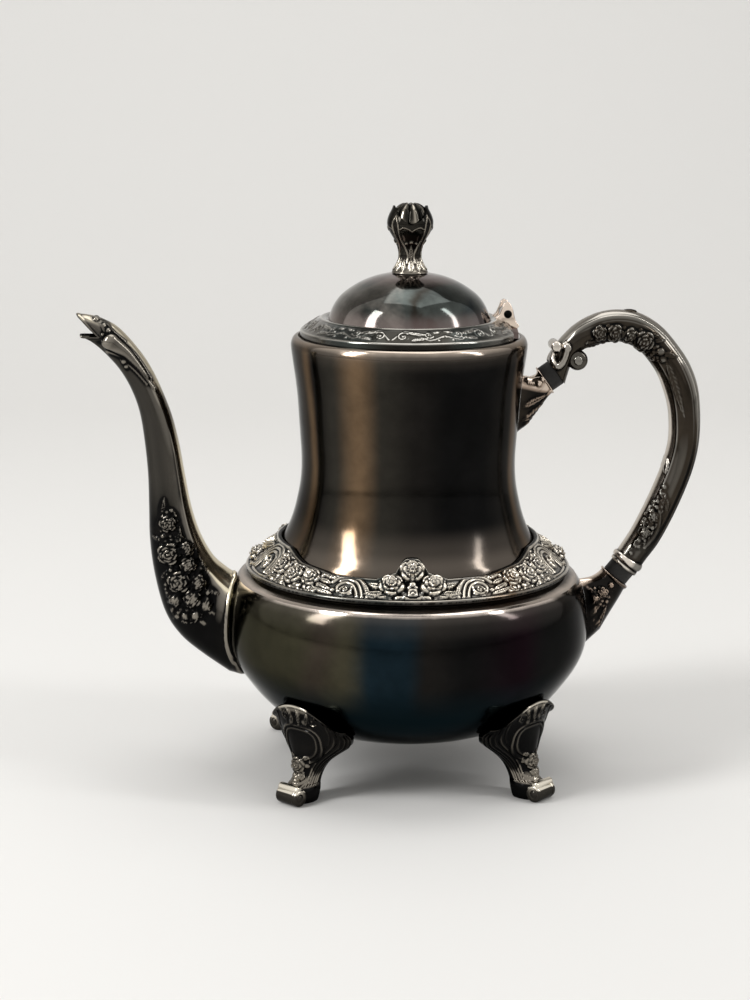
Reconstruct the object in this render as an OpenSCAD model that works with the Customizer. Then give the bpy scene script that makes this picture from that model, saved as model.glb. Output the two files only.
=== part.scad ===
// Coffee pot: a round-bellied pot on four cast feet with a tall waisted neck, a hinged
// domed lid with a rosebud finial, a hollow swan-neck spout and a hollow loop handle
// that is set off from the body by two heat-insulating discs. Millimetres.
// The finished part stands on z = 0 with its box centred on x = 0 and y = 0.
// The spout points to -X, the handle and the lid hinge are at +X.

/* [Body] */
// Height from the table to the tip of the finial
pot_height = 270; // [250:1:290]
// Radius of the bowl at its widest
bowl_radius = 86; // [82:0.5:90]
// Thickness of the silver-plated sheet
wall = 1.2; // [1:0.1:1.5]
// Gap left where a cast piece is set against the sheet
seat = 0.2; // [0.1:0.05:0.3]

/* [Spout] */
// How far the lip of the spout stands out from the body's axis
spout_reach = 154.5; // [146:0.5:162]
// Half the width of the spout where it meets the bowl
spout_root_width = 14.5; // [12:0.5:17]

/* [Handle] */
// How far the back of the handle stands out from the body's axis
handle_reach = 139; // [132:0.5:146]
// Half the width of the handle, across the pot
handle_width = 7.2; // [6:0.2:8.4]
// Radius of the black insulating discs
insulator_radius = 6.4; // [5.8:0.1:6.8]
// Thickness of the black insulating discs
insulator_length = 6.4; // [5:0.2:8]

/* [Lid] */
// Gap all round between the lid's collar and the mouth ring, which lets the lid swing
lid_clearance = 1.3; // [1.1:0.1:1.6]
// Radius of the hinge pin
pin_radius = 1.6; // [1.3:0.1:2]
// Gap at each side of a hinge knuckle
hinge_gap = 0.4; // [0.25:0.05:0.6]

/* [Feet] */
// Half the width of a foot's scroll toe
toe_width = 9; // [7.6:0.2:10.2]
// Half the width of a foot's wing on the bowl
wing_width = 22.5; // [20:0.5:25]

/* [Hidden] */
$fn = 96;
// growth of heights and of radii from the sizes that the station lists are written for
kz = pot_height / 270;
kr = bowl_radius / 86;
// the box is centred, so the body's axis stands off x = 0
axis_x = (spout_reach - handle_reach) / 2;
// top of the mouth ring, on which the closed lid stands
lid_z = 207.2 * kz;
rim_lip = 1.5;
pin_x = 45.3 * kr;
pin_z = lid_z + 11.9;
bore_r = 44.5 * kr;
collar_r = bore_r - lid_clearance;
border_r = 51 * kr;
hinge_cut = pin_x + 1;
cheek_in = 3.6;
cheek_out = 6.6;
stud_r = 1.8;
shoulder_r = 77 * kr;
shoulder_z = 96 * kz;
shoulder_slope = 0.72 * kz / kr;
bowl_floor = 21 * kz;
arc = 9;

function P(r, z) = [r * kr, z * kz];
function L(r, h) = [r * kr, lid_z + h * kz];
function shoulder(r) = [r * kr, shoulder_z + (shoulder_r - r * kr) * shoulder_slope];
function cr(a, b, c, d, t) = 0.5 * (2 * b + (c - a) * t
    + (2 * a - 5 * b + 4 * c - d) * t * t + (3 * b - a - 3 * c + d) * t * t * t);
function spline(p, n) = [
    for (i = [0 : len(p) - 2]) for (j = [0 : n - 1])
        cr(p[max(0, i - 1)], p[i], p[i + 1], p[min(len(p) - 1, i + 2)], j / n),
    p[len(p) - 1]];
function flip(p) = [for (i = [len(p) - 1 : -1 : 0]) p[i]];
// every second point of a line, moved in by a wall's thickness
function inset(p, t) = [for (i = [0 : 2 : len(p) - 1])
    let (d = p[min(len(p) - 1, i + 1)] - p[max(0, i - 1)]) p[i] + [-d[1], d[0]] * t / norm(d)];
function table(p) = [for (q = p) [q[1], q[0]]];

// ---- bowl and neck lines, radius and height ----
bowl_side = spline([[28 * kr, bowl_floor], P(40, 22.5), P(50, 25.2), P(58, 28.7), P(65.6, 33.8),
    P(71.5, 39.6), P(76.4, 45.8), P(80.5, 51.7), P(83.7, 57.8), P(85.5, 64), P(86, 70.5),
    P(85.6, 77), P(84.5, 84.5), P(82.5, 91), P(80.2, 94.7)], 2);
bowl_skin = concat([[0, bowl_floor]], bowl_side, [shoulder(77), shoulder(58)]);
bowl_lining = concat([[0, bowl_floor + wall]], inset(bowl_side, wall),
    [shoulder(76) - [0, wall * 1.3], shoulder(58) - [0, wall * 1.3]]);
neck_side = spline([P(60.2, 111), P(58.2, 114.6), P(55.9, 119.6), P(53.9, 125.4), P(52.3, 132),
    P(51, 139), P(50.4, 146), P(50.4, 153), P(50.9, 161), P(51.5, 170), P(52.1, 179),
    P(53.1, 188), P(54.3, 196), P(55.1, 202)], 2);
neck_skin = concat([shoulder(62.2), P(61.4, 108.8)], neck_side,
    [P(55.3, 204.4), P(55, 206.2), P(54.3, 207.7), P(53.3, 208.5), [52 * kr, lid_z + rim_lip]]);
neck_lining = concat([[52 * kr, lid_z], [53.3 * kr, lid_z], P(55.3, 205.6) - [wall, 0]],
    [for (p = flip(neck_side)) p - [wall, 0]], [shoulder(60.4)]);
bowl_table = table(bowl_side);
neck_table = table(neck_side);
function bowl_x(y, z) = sqrt(pow(lookup(z, bowl_table) + seat, 2) - y * y);
function neck_x(y, z) = sqrt(pow(lookup(z, neck_table) + seat, 2) - y * y);

module turned(line) {
    rotate_extrude() polygon(line);
}

// every piece is drawn about the body's axis and then moved to its place
module placed() {
    translate([axis_x, 0, 0]) children();
}

// ---- lofts: a station is [outer x, outer z, inner x, inner z, half width] ----
function mid(s) = [(s[0] + s[2]) / 2, (s[1] + s[3]) / 2];
function reach(s) = [(s[2] - s[0]) / 2, (s[3] - s[1]) / 2];
function thin(s, t) = let (m = mid(s), h = reach(s), k = 1 - t / norm(h))
    [m[0] - h[0] * k, m[1] - h[1] * k, m[0] + h[0] * k, m[1] + h[1] * k, s[4] - t];
function on_ring(s, a) = [mid(s)[0] + sin(a) * reach(s)[0], s[4] * cos(a),
    mid(s)[1] + sin(a) * reach(s)[1]];
function half_ring(s) = [for (i = [0 : arc - 1]) on_ring(s, -90 + 180 * i / (arc - 1))];
function full_ring(s) = [for (i = [0 : 2 * arc - 3]) on_ring(s, -90 + 180 * i / (arc - 1))];
// the ring of a tube's end, cut square across a direction
function square_end(c, a, h) = [c[0] + h * sin(a), c[1] - h * cos(a),
    c[0] - h * sin(a), c[1] + h * cos(a), h];

function skin_faces(m, n) = [for (i = [0 : m - 2]) for (j = [0 : n - 1]) for (f = [
    [i * n + j, i * n + (j + 1) % n, (i + 1) * n + (j + 1) % n],
    [i * n + j, (i + 1) * n + (j + 1) % n, (i + 1) * n + j]]) f];
function strip_cap(o, n) = [for (j = [0 : n / 2 - 2]) for (f = [
    [o + j, o + j + 1, o + n - 2 - j], [o + j, o + n - 2 - j, o + n - 1 - j]]) f];
function fan_cap(o, n) = [for (j = [1 : n - 2]) [o, o + j, o + j + 1]];
function back_to_front(fs) = [for (f = fs) [f[0], f[2], f[1]]];

// an open-ended half tube with a wall: rings run out along one face and back along the other
module half_tube(rings) {
    m = len(rings);
    n = len(rings[0]);
    polyhedron(points = [for (r = rings) for (p = r) p],
        faces = concat(back_to_front(strip_cap(0, n)), skin_faces(m, n),
            strip_cap((m - 1) * n, n)));
}

module solid_loft(rings) {
    m = len(rings);
    n = len(rings[0]);
    polyhedron(points = [for (r = rings) for (p = r) p],
        faces = concat(back_to_front(fan_cap(0, n)), skin_faces(m, n),
            fan_cap((m - 1) * n, n)));
}

// ---- body ----
module bowl() color("silver") placed() {
    difference() {
        turned(concat(bowl_skin, flip(bowl_lining)));
        for (y = [-7, 0, 7]) for (z = [58, 66, 74, 82])
            translate([-bowl_radius - 4, y, z * kz]) rotate([0, 90, 0])
                cylinder(r = strainer_r, h = 16);
    }
}
strainer_r = 2.4;

module neck() color("silver") placed() {
    turned(concat(neck_skin, neck_lining));
}

module mouth_ring() color("silver") placed() {
    turned([[bore_r, lid_z], [53 * kr, lid_z], [53 * kr, lid_z - 1.5], [bore_r + 1.5, lid_z - 1.5],
        [bore_r + 1.5, lid_z - 7], [bore_r, lid_z - 7]]);
}

// ---- shoulder band: low all round, high over the front, the back and both sides ----
// a row is [way up the face, radius, height]
band_face = [[0, 76.9, 99.3], [1.8, 75.4, 100.2], [5.5, 72.4, 102.4], [11.1, 68.2, 106.2],
    [16.8, 64.2, 110.2], [21.5, 61, 113.6]];
face_radii = [for (f = band_face) [f[0], f[1] * kr]];
face_heights = [for (f = band_face) [f[0], f[2] * kz]];
band_low = [shoulder(62.5), shoulder(75), P(75.4, 98.2), P(76.9, 98.2), P(76.9, 99.3),
    P(75.4, 100.2), P(72.4, 102.4), P(69.4, 104.9), P(66.4, 107.1), P(64.2, 108.3), P(62.7, 108.2)];
band_high = [P(70.5, 103.4), P(68.2, 106.2), P(64.2, 110.2), P(61, 113.6), P(59.7, 113.9),
    P(59.5, 112.8), P(60.45, 111), P(61.65, 108.8), P(63.2, 107.2), P(66, 104.8)];
band_turn = -3;
relief = 1.6;
// roses and volutes in relief: a row is [degrees from the middle of the front, way up, radius]
roses = [[0, 15, 5.2], [7.6, 8.6, 5.4], [40.3, 9.4, 4.2], [49, 8, 4.4], [59, 12, 4.6],
    [90, 7.5, 5]];
volutes = [[25.7, 7.6, 6.6], [72, 10.5, 6.2]];
// the same place on each quarter of the band
function around(a) = a == 0 ? [0, 180] : a == 90 ? [90, 270] : [a, -a, 180 - a, 180 + a];
module on_band(row) {
    for (a = around(row[0])) rotate([0, 0, a - 90 + band_turn])
        translate([lookup(row[1], face_radii), 0, lookup(row[1], face_heights)])
            rotate([0, 46, 0]) children();
}

module shoulder_band() color("silver") placed() {
    turned(band_low);
    for (a = [-14, 50, 166, 230]) rotate([0, 0, a - 90 + band_turn])
        rotate_extrude(angle = a == 50 || a == 230 ? 80 : 28) polygon(band_high);
    for (row = roses) on_band(row)
        translate([0, 0, -1.2]) cylinder(r1 = row[2] * kr, r2 = row[2] * kr * 0.66, h = relief + 1.2);
    for (row = volutes) on_band(row) {
        rotate_extrude() polygon([for (q = [[0.56, -1.2], [1, -1.2], [0.92, relief * 0.8],
            [0.66, relief * 0.8]]) [q[0] * row[2] * kr, q[1]]]);
        translate([0, 0, -1.2]) cylinder(r1 = 2 * kr, r2 = 1.4 * kr, h = relief + 0.8);
    }
}

// ---- spout ----
spout_grow = spout_reach - 154.5 * kr;
function spout_x(x) = -(x * kr + spout_grow * max(0, (x - 100) / 54.5));
function spout_at(s) = [spout_x(s[0]), s[1] * kz, spout_x(s[2]), s[3] * kz,
    s[4] * spout_root_width / 14.5];
spout_line = [for (s = spline([
    [152.8, 208.6, 154.5, 219.4, 5.6], [147.4, 206.2, 149, 219, 6.1],
    [141.6, 201.2, 141.8, 217, 6.3], [134.8, 193.4, 133, 211.2, 6.5],
    [129.6, 184.2, 121.2, 196, 6.8], [125.8, 173, 112.3, 176, 7.2],
    [123.6, 158, 108, 160, 7.7], [122.4, 143, 105.2, 143.8, 8.2],
    [122.2, 128, 102.4, 128.6, 9], [122, 112, 98.4, 115.6, 10.4],
    [119.9, 95, 92.4, 104.4, 12], [115.4, 77.6, 86, 98.4, 13.2],
    [108.5, 66.2, 83.2, 96.4, 14], [98.5, 57.2, 81.8, 95.2, 14.4]], 2)) spout_at(s)];
spout_foot = 46 * kz;
spout_armpit = 94 * kz;
function root_ring(lo, hi, w, side) = [for (i = [0 : arc - 1])
    let (a = -90 + 180 * i / (arc - 1), y = w * cos(a), z = (lo + hi) / 2 + sin(a) * (hi - lo) / 2)
    [side * bowl_x(y, z), y, z]];
module spout_rear_half() color("silver") placed() {
    half_tube(concat(
        [for (s = spout_line) concat(half_ring(s), flip(half_ring(thin(s, wall))))],
        [concat(root_ring(spout_foot, spout_armpit, spout_root_width, -1),
            flip(root_ring(spout_foot + wall, spout_armpit - wall, spout_root_width - wall, -1)))]));
}

module spout_front_half() color("silver") placed() {
    mirror([0, 1, 0]) translate([-axis_x, 0, 0]) spout_rear_half();
}

// ---- handle, its two sockets and its two insulators ----
top_angle = 35;
low_angle = 231;
function step(c, a, d) = [c[0] + d * cos(a), c[1] + d * sin(a)];
top_joint = P(64.3, 187.3);
top_start = step(top_joint, top_angle, insulator_length);
low_end = P(104, 96.6);
low_joint = step(low_end, low_angle, insulator_length);
end_r = insulator_radius + 0.6;
handle_grow = handle_reach - 139 * kr;
function handle_x(x) = x * kr + handle_grow * max(0, (x - 112) / 27);
function handle_at(s) = [handle_x(s[0]), s[1] * kz, handle_x(s[2]), s[3] * kz,
    s[4] * handle_width];
handle_line = concat([square_end(top_start, top_angle + 180, end_r)],
    [for (s = spline([[67.2, 201.4, 77.6, 190.4, 1], [69.6, 205, 82, 192.4, 1],
        [72.9, 208.8, 84, 196.6, 1], [77, 212.8, 84.6, 201, 1], [82.6, 216.4, 88.2, 203.4, 1],
        [89.6, 219.2, 92.4, 204.8, 1], [97.5, 220.3, 98, 205.2, 1], [106, 219.4, 103, 204, 1],
        [113.4, 216.2, 108.2, 201.2, 1], [120.6, 210.8, 112.6, 196.8, 1],
        [128.1, 201.9, 117.2, 190.2, 1], [133.4, 193.6, 120.3, 183.2, 1],
        [137.4, 183, 122.8, 175, 1], [139, 169.5, 123.9, 166.2, 1], [138.6, 156.5, 123.7, 156.8, 1],
        [136.3, 144.5, 121.4, 147, 1], [132.2, 132.5, 117.6, 136.6, 1],
        [126.6, 119.5, 112.6, 125.2, 1], [120.6, 108, 107.2, 114.4, 1],
        [115, 100.2, 102.6, 107, 0.98]], 1)) handle_at(s)],
    [square_end(low_end, low_angle + 180, end_r)]);
module handle_rear_half() color("silver") placed() {
    half_tube([for (s = handle_line) concat(half_ring(s), flip(half_ring(thin(s, wall))))]);
}

module handle_front_half() color("silver") placed() {
    mirror([0, 1, 0]) translate([-axis_x, 0, 0]) handle_rear_half();
}

// a ring that lies on the neck or the bowl; k shrinks it, so that nested rings close the end
function seat_ring(lo, hi, w, k, on_bowl) = [for (i = [0 : 2 * arc - 3])
    let (a = -90 + 180 * i / (arc - 1), y = w * k * cos(a),
        z = (lo + hi) / 2 + sin(a) * k * (hi - lo) / 2)
    [on_bowl ? bowl_x(y, z) : neck_x(y, z), y, z]];
function plain(s) = [s[0] * kr, s[1] * kz, s[2] * kr, s[3] * kz, s[4]];
module upper_socket() color("silver") placed() {
    solid_loft(concat([for (k = [0.03, 0.5, 1]) seat_ring(162 * kz, 189.4 * kz, 7, k, false)],
        [for (s = [[55.5, 165.6, 55.5, 189, 6.9], [60.4, 172.6, 57.8, 188.8, 6.8],
            [64.8, 178.2, 60, 190, 6.8]]) full_ring(plain(s))],
        [full_ring(square_end(top_joint, top_angle, end_r))]));
}

module lower_socket() color("silver") placed() {
    solid_loft(concat([for (k = [0.03, 0.35, 0.7, 1]) seat_ring(56 * kz, 90.5 * kz, 7.5, k, true)],
        [for (s = [[93.2, 65.4, 86.6, 91, 7.4], [98, 74, 88.8, 91.6, 7.2],
            [102, 80.8, 91.6, 93.2, 7]]) full_ring(plain(s))],
        [full_ring(square_end(low_joint, low_angle + 180, end_r))]));
}

module insulator(c, a) {
    translate([c[0], 0, c[1]]) rotate([0, 90 - a, 0])
        cylinder(r = insulator_radius, h = insulator_length);
}

module upper_insulator() color("black") placed() {
    insulator(top_joint, top_angle);
}

module lower_insulator() color("black") placed() {
    insulator(low_end, low_angle);
}

// ---- hinge ----
module hinge_bracket() color("silver") placed() {
    arm = cheek_in - hinge_gap;
    difference() {
        union() {
            intersection() {
                translate([0, 0, lid_z]) cylinder(r = 52 * kr - 0.2, h = rim_lip);
                translate([pin_x + 2, -14, lid_z - 1]) cube([10, 28, 4]);
            }
            translate([0, arm, 0]) rotate([90, 0, 0]) linear_extrude(2 * arm)
                polygon([[pin_x + 2, lid_z], [pin_x + 5.6, lid_z], [pin_x + 5.6, lid_z + 2.5],
                    [pin_x + 3.2, pin_z], [pin_x, pin_z], [pin_x + 2, pin_z - 3.2]]);
            translate([pin_x, arm, pin_z]) rotate([90, 0, 0]) cylinder(r = 3.2, h = 2 * arm);
        }
        translate([pin_x, 20, pin_z]) rotate([90, 0, 0]) cylinder(r = pin_radius, h = 40);
    }
}

module hinge_pin() color("silver") placed() {
    translate([pin_x, cheek_out + 0.2, pin_z]) rotate([90, 0, 0])
        cylinder(r = pin_radius, h = 2 * cheek_out + 0.4);
    for (s = [-1, 1]) translate([pin_x, s * (cheek_out + 0.8), pin_z]) rotate([90, 0, 0])
        cylinder(r = pin_radius + 0.8, h = 1.2, center = true);
}

lid_line = [[0, lid_z - 20], [border_r, lid_z - 20], L(51, 3.7), L(46, 7), L(42.4, 9.3),
    L(40.8, 9.8), L(39.2, 9.8), L(38, 9), [0, lid_z + 9 * kz]];
module lid_hinge() color("silver") placed() {
    difference() {
        for (y = [-cheek_out, cheek_in]) translate([0, y + cheek_out - cheek_in, 0])
            rotate([90, 0, 0]) linear_extrude(cheek_out - cheek_in)
                polygon([[pin_x - 6.2, lid_z + 5 * kz], [pin_x - 6.2, lid_z + 10.6 * kz],
                    [pin_x - 3.2, pin_z + 0.6], [pin_x - 1.8, pin_z + 4.4], [pin_x, pin_z + 5.4],
                    [pin_x + 1.8, pin_z + 4.2], [pin_x + 3.2, pin_z], [pin_x + 5.2, pin_z - 5.2],
                    [pin_x + 4.2, pin_z - 6.6], [pin_x + 1, pin_z - 7], [pin_x + 1, lid_z + 5 * kz]]);
        turned(lid_line);
        translate([pin_x, 20, pin_z]) rotate([90, 0, 0])
            cylinder(r = pin_radius + 0.15, h = 40);
    }
}

// ---- lid ----
module lid_dome() color("silver") placed() {
    outer = concat(spline([L(38, 9), L(35.6, 15), L(32.4, 19.6), L(28, 23.2), L(22.4, 26.5),
        L(16.3, 28.9), L(11, 30.1)], 2), [L(9, 30.4), [stud_r + 0.2, L(9, 30.4)[1]]]);
    inner = [[stud_r + 0.2, L(9, 30.4)[1] - wall], L(9, 30.4) - [0, wall],
        L(16, 28.8) - [0, wall], L(22, 26.4) - [0.4, wall], L(27.4, 23) - [0.7, wall],
        L(31.6, 19.4) - [wall, 0.6], L(34.9, 15) - [wall, 0], L(38, 9) - [wall, 0]];
    turned(concat(outer, inner));
}

module lid_border() color("silver") placed() {
    difference() {
        turned([[border_r, lid_z + 0.2], L(51, 3.7), L(46, 7), L(42.4, 9.3), L(40.8, 9.8),
            L(39.2, 9.8), L(38, 9), L(36.2, 9), L(36.2, 7.6), L(40.6, 7.6),
            L(45.2, 5), [border_r - 1.6, lid_z + 3], [border_r - 1.6, lid_z + 0.2]]);
        translate([hinge_cut, -40, lid_z - 5]) cube([20, 80, 20]);
    }
}

module lid_collar() color("silver") placed() {
    difference() {
        turned([[collar_r, lid_z - 5], [collar_r, lid_z + 0.4], [border_r - 1.6, lid_z + 0.4],
            [border_r - 1.6, lid_z + 1.6], [collar_r - 1.4, lid_z + 1.6], [collar_r - 1.4, lid_z - 5]]);
        translate([hinge_cut, -40, lid_z - 10]) cube([20, 80, 20]);
    }
}

module finial() color("silver") placed() {
    difference() {
        turned([[0, lid_z + 23], [stud_r, lid_z + 23], [stud_r, L(9, 30.4)[1]], L(8, 30.4),
            L(7.8, 31.4), L(6.2, 33.4), L(5.2, 36.4), L(4.9, 40), L(6, 43), L(8.6, 46.6),
            L(10.4, 50), L(11, 53.4), L(10.4, 57), L(8.8, 60.4), L(7, 62.4), L(5.2, 62.8),
            L(4, 61.4), L(2.6, 62.2), L(0, 62.6)]);
        for (a = [0 : 72 : 288]) rotate([0, 0, a + 18]) translate([5.2, 0, lid_z + 66 * kz])
            rotate([0, 90, 0]) scale([1, 0.34, 1]) cylinder(r = 9, h = 9, $fn = 4);
    }
}

module finial_washer() color("silver") placed() {
    under = L(9, 30.4)[1] - wall;
    difference() {
        translate([0, 0, under - 1]) cylinder(r = 6, h = 1);
        translate([0, 0, under - 5]) cylinder(r = stud_r + 0.1, h = 10);
    }
}

module finial_nut() color("silver") placed() {
    under = L(9, 30.4)[1] - wall - 1;
    difference() {
        translate([0, 0, under - 3]) cylinder(r = 4.2, h = 3, $fn = 6);
        translate([0, 0, under - 5]) cylinder(r = stud_r, h = 10);
    }
}

// ---- feet: a row is [height, drop at the sides, half width, front radius, back radius] ----
foot_rows = [[0, 0, 0.86, 83.2, 74.6], [1.2, 0, 0.96, 85.2, 73], [3.6, 0, 1, 86.2, 72.2],
    [6, 0, 0.97, 85.2, 72], [7.8, 0, 0.82, 82.4, 71.4], [9.2, 0, 0.67, 79.4, 70.2],
    [13, 0.4, 0.67, 77.4, 68.4], [17, 1, 0.8, 76.8, 67.6], [21, 2, 1.08, 76.6, 66.8],
    [24.5, 2.6, 1.5, 76.4, 66], [28, 3.4, 2, 76.2, 65], [31.5, 4.6, 2.4, 76.2, 64],
    [36, 6.4, 2.6, 76.8, 63], [41.5, 9, 2.58, 78.4, 62], [47, 12, 2.5, 80.6, 62]];
function row_width(w) = w <= 1 ? w * toe_width : toe_width + (w - 1) * 0.4 * wing_width;
function foot_back(b, z) = max(b * kr, lookup(z, bowl_table) + seat);
function foot_pt(r, t, side) = let (z = (r[0] - r[1] * t * t) * kz, b = foot_back(r[4], z),
    f = max(b + 1, r[3] * kr), a = row_width(r[2]) * t / 78 / kr * 57.3,
    p = side ? b + (f - b) * (0.2 + 0.8 * sqrt(max(0, 1 - t * t))) : b)
    [p * cos(a), p * sin(a), z];
function foot_ring(r) = concat([for (i = [0 : arc - 1]) foot_pt(r, -1 + 2 * i / (arc - 1), true)],
    [for (i = [arc - 1 : -1 : 0]) foot_pt(r, -1 + 2 * i / (arc - 1), false)]);
module foot(a) {
    placed() rotate([0, 0, a]) half_tube([for (r = foot_rows) foot_ring(r)]);
}

module foot_front_left() color("silver") foot(225);
module foot_front_right() color("silver") foot(315);
module foot_rear_left() color("silver") foot(135);
module foot_rear_right() color("silver") foot(45);

bowl();
neck();
mouth_ring();
shoulder_band();
spout_front_half();
spout_rear_half();
handle_front_half();
handle_rear_half();
upper_socket();
lower_socket();
upper_insulator();
lower_insulator();
hinge_bracket();
hinge_pin();
lid_hinge();
lid_dome();
lid_border();
lid_collar();
finial();
finial_washer();
finial_nut();
foot_front_left();
foot_front_right();
foot_rear_left();
foot_rear_right();
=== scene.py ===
"""Coffee pot in tarnished silver plate: round bowl on four cast feet, waisted neck, domed lid with a
rosebud, swan-neck spout, loop handle on black discs, and flowers, leaves and scrolls in relief.
Sizes are millimetres about the body's axis, and to_frame() turns them into the frame's metres."""
import math
from functools import reduce

import bmesh
import bpy
import numpy as np
from mathutils import Matrix, Vector


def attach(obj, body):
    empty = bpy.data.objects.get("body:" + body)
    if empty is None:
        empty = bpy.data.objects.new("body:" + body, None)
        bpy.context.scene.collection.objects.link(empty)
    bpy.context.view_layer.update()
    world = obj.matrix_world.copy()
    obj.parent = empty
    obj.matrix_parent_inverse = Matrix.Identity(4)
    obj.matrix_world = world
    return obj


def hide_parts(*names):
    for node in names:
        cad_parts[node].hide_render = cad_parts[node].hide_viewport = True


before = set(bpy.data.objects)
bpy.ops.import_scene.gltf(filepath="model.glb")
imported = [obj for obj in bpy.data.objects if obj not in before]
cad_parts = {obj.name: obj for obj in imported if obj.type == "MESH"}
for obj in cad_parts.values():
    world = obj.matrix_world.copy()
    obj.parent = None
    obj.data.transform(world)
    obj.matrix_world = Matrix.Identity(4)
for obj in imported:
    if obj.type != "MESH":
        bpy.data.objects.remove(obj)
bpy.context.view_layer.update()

AXIS = 7.75       # the body's axis stands this far off x = 0
TOP = 270         # height of the whole pot
WALL = 1.2        # sheet thickness
SEAT = 0.2        # a casting stands this far off the sheet that carries it
LID = 207.2       # top of the mouth ring, where the closed lid stands
PIN_X = 45.3      # hinge pin
PIN_Z = LID + 11.9
SHOULDER_R, SHOULDER_Z, SHOULDER_SLOPE = 77, 96, 0.72
MERGE = 0.004     # points closer than this are one

# How bare the metal is, from 0, packed black, to 1, bright; on several pieces the same number also carries
# painted highlights, painted reflections and painted shade
FILM = 0.46                # the film of tarnish alone
HOLLOWS = (0.38, 0.12)     # here the film gives way to pitch,
CRESTS = (0.5, 0.76)       # here to the tint of rubbed crests,
WORN = (0.8, 1.0)          # and here to worn metal
RUBBED = 0.78              # the most that rubbing lays bare
FLOW = 7                   # steps by which a relief is evened out, to tell its crests from its hollows


# ---- lines ----------------------------------------------------------------------------------

def curve(points, steps):
    """A smooth line through stations, by Catmull-Rom, with so many steps from one to the next."""
    p = np.array(points, float)
    p = np.vstack([p[0], p, p[-1]])
    t = np.linspace(0, 1, steps, endpoint=False)[:, None]
    out = []
    for a, b, c, d in zip(p, p[1:], p[2:], p[3:]):
        out.append(0.5 * (2 * b + (c - a) * t + (2 * a - 5 * b + 4 * c - d) * t ** 2
                          + (3 * b - a - 3 * c + d) * t ** 3))
    return np.vstack(out + [p[-1:]])


def distances(line):
    """How far along a line each of its points lies."""
    return np.concatenate([[0], np.cumsum(np.linalg.norm(np.diff(line, axis=0), axis=1))])


def read_off(table, at, run=None):
    """Each column of a table, read off at places along it that count in rows or along a run."""
    run = np.arange(len(table)) if run is None else run
    return [np.interp(at, run, column) for column in np.transpose(table)]


def inner_line(line, thickness):
    """The same line moved in by a wall, and run back the other way."""
    d = np.gradient(line, axis=0)
    d /= np.linalg.norm(d, axis=1)[:, None]
    return (line + np.stack([-d[:, 1], d[:, 0]], 1) * thickness)[::-1]


def round_axis(r, a, z):
    """Points at a radius, an angle in radians and a height about the body's axis."""
    return np.stack([r * np.cos(a), r * np.sin(a), z], 1)


def shoulder(r):
    """The point of the bowl's sloping shoulder at a radius."""
    return (r, SHOULDER_Z + (SHOULDER_R - r) * SHOULDER_SLOPE)


def over_lid(*points):
    """Points given as a radius and a height over the mouth ring."""
    return [(r, LID + h) for r, h in points]


def wall_at(side, y, z):
    """How far out a casting stands on a round sheet wall, at y and z."""
    r = np.interp(z, side[:, 1], side[:, 0]) + SEAT
    return np.sqrt(np.maximum(r ** 2 - y ** 2, 0))


# ---- relief, in millimetres over a flat blank ------------------------------------------------

def dome(d):
    """A half-round boss or bead, at d half widths from its middle, and flat beyond its edge."""
    return np.sqrt(np.clip(1 - d * d, 0, 1))


def soft(lo, hi, x):
    """Rises smoothly from 0 to 1 as x goes from lo to hi."""
    t = np.clip((x - lo) / (hi - lo), 0, 1)
    return t * t * (3 - 2 * t)


def over(*layers):
    """Several reliefs on one blank, where the highest shows."""
    return reduce(np.maximum, layers)


def rose(x, y, cx, cy, size, turn=0.0):
    """An open rose: three rings of cupped petals round a bud, on a low mound."""
    d = np.hypot(x - cx, y - cy) / size
    a = np.arctan2(y - cy, x - cx) + turn
    h = 0.62 * dome(d / 0.17)
    for petals, reach, floor, lip, shift in ((5, 1.0, 0.02, 0.34, 0.0), (5, 0.7, 0.2, 0.27, 0.7),
                                             (4, 0.42, 0.36, 0.2, 0.3)):
        petal = np.abs(np.cos(petals / 2 * (a + shift + 0.5 * d)))
        t = d / (reach * (0.76 + 0.24 * petal ** 0.55))
        cup = floor + lip * (0.3 + 0.7 * np.clip(t, 0, 1) ** 2.2) * (0.35 + 0.65 * petal ** 0.6)
        h = np.maximum(h, cup * (1 - soft(0.93, 1.08, t)))
    return (h + 0.2 * dome(d)) * size


def scroll(x, y, cx, cy, size, turn=0.0, hand=1, turns=1.7):
    """A volute: a round wire that winds in to a button."""
    dx, dy = (x - cx) / size, (y - cy) / size * hand
    d = np.hypot(dx, dy)
    a = (np.arctan2(dy, dx) - turn) % math.tau
    h = 0.3 * dome(d / 0.2) + 0.05 * (d < 0.95)
    for lap in range(3):
        along = a + math.tau * lap
        arm = 0.92 * np.exp(-0.155 * along)
        width = 0.05 + 0.11 * arm
        h = np.maximum(h, (0.12 + 0.24 * arm) * dome((d - arm) / width) * (along < turns * math.tau))
    return h * size


def leaf(x, y, x0, y0, length, angle, width, bend=0.0, rise=0.5, lobes=5):
    """A pointed leaf with a sunk midrib and a lobed edge."""
    c, s = math.cos(math.radians(angle)), math.sin(math.radians(angle))
    u = ((x - x0) * c + (y - y0) * s) / length
    v = -(x - x0) * s + (y - y0) * c - bend * length * u * u
    w = np.clip(u, 0, 1)
    half = width * np.sin(math.pi * w ** 0.7) * (1 - 0.16 * np.abs(np.sin(lobes * math.pi * w))) + 0.02
    t = np.clip(np.abs(v) / half, 0, 1)
    vein = 0.14 * np.cos((lobes * 2 * w - 1.1 * t) * math.tau)
    top = dome(t) * (1 + vein) - 0.42 * np.exp(-(v / (0.16 * width)) ** 2)
    return np.where((u > 0) & (u < 1) & (t < 1), np.maximum(top, 0) * rise * width, 0)


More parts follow.
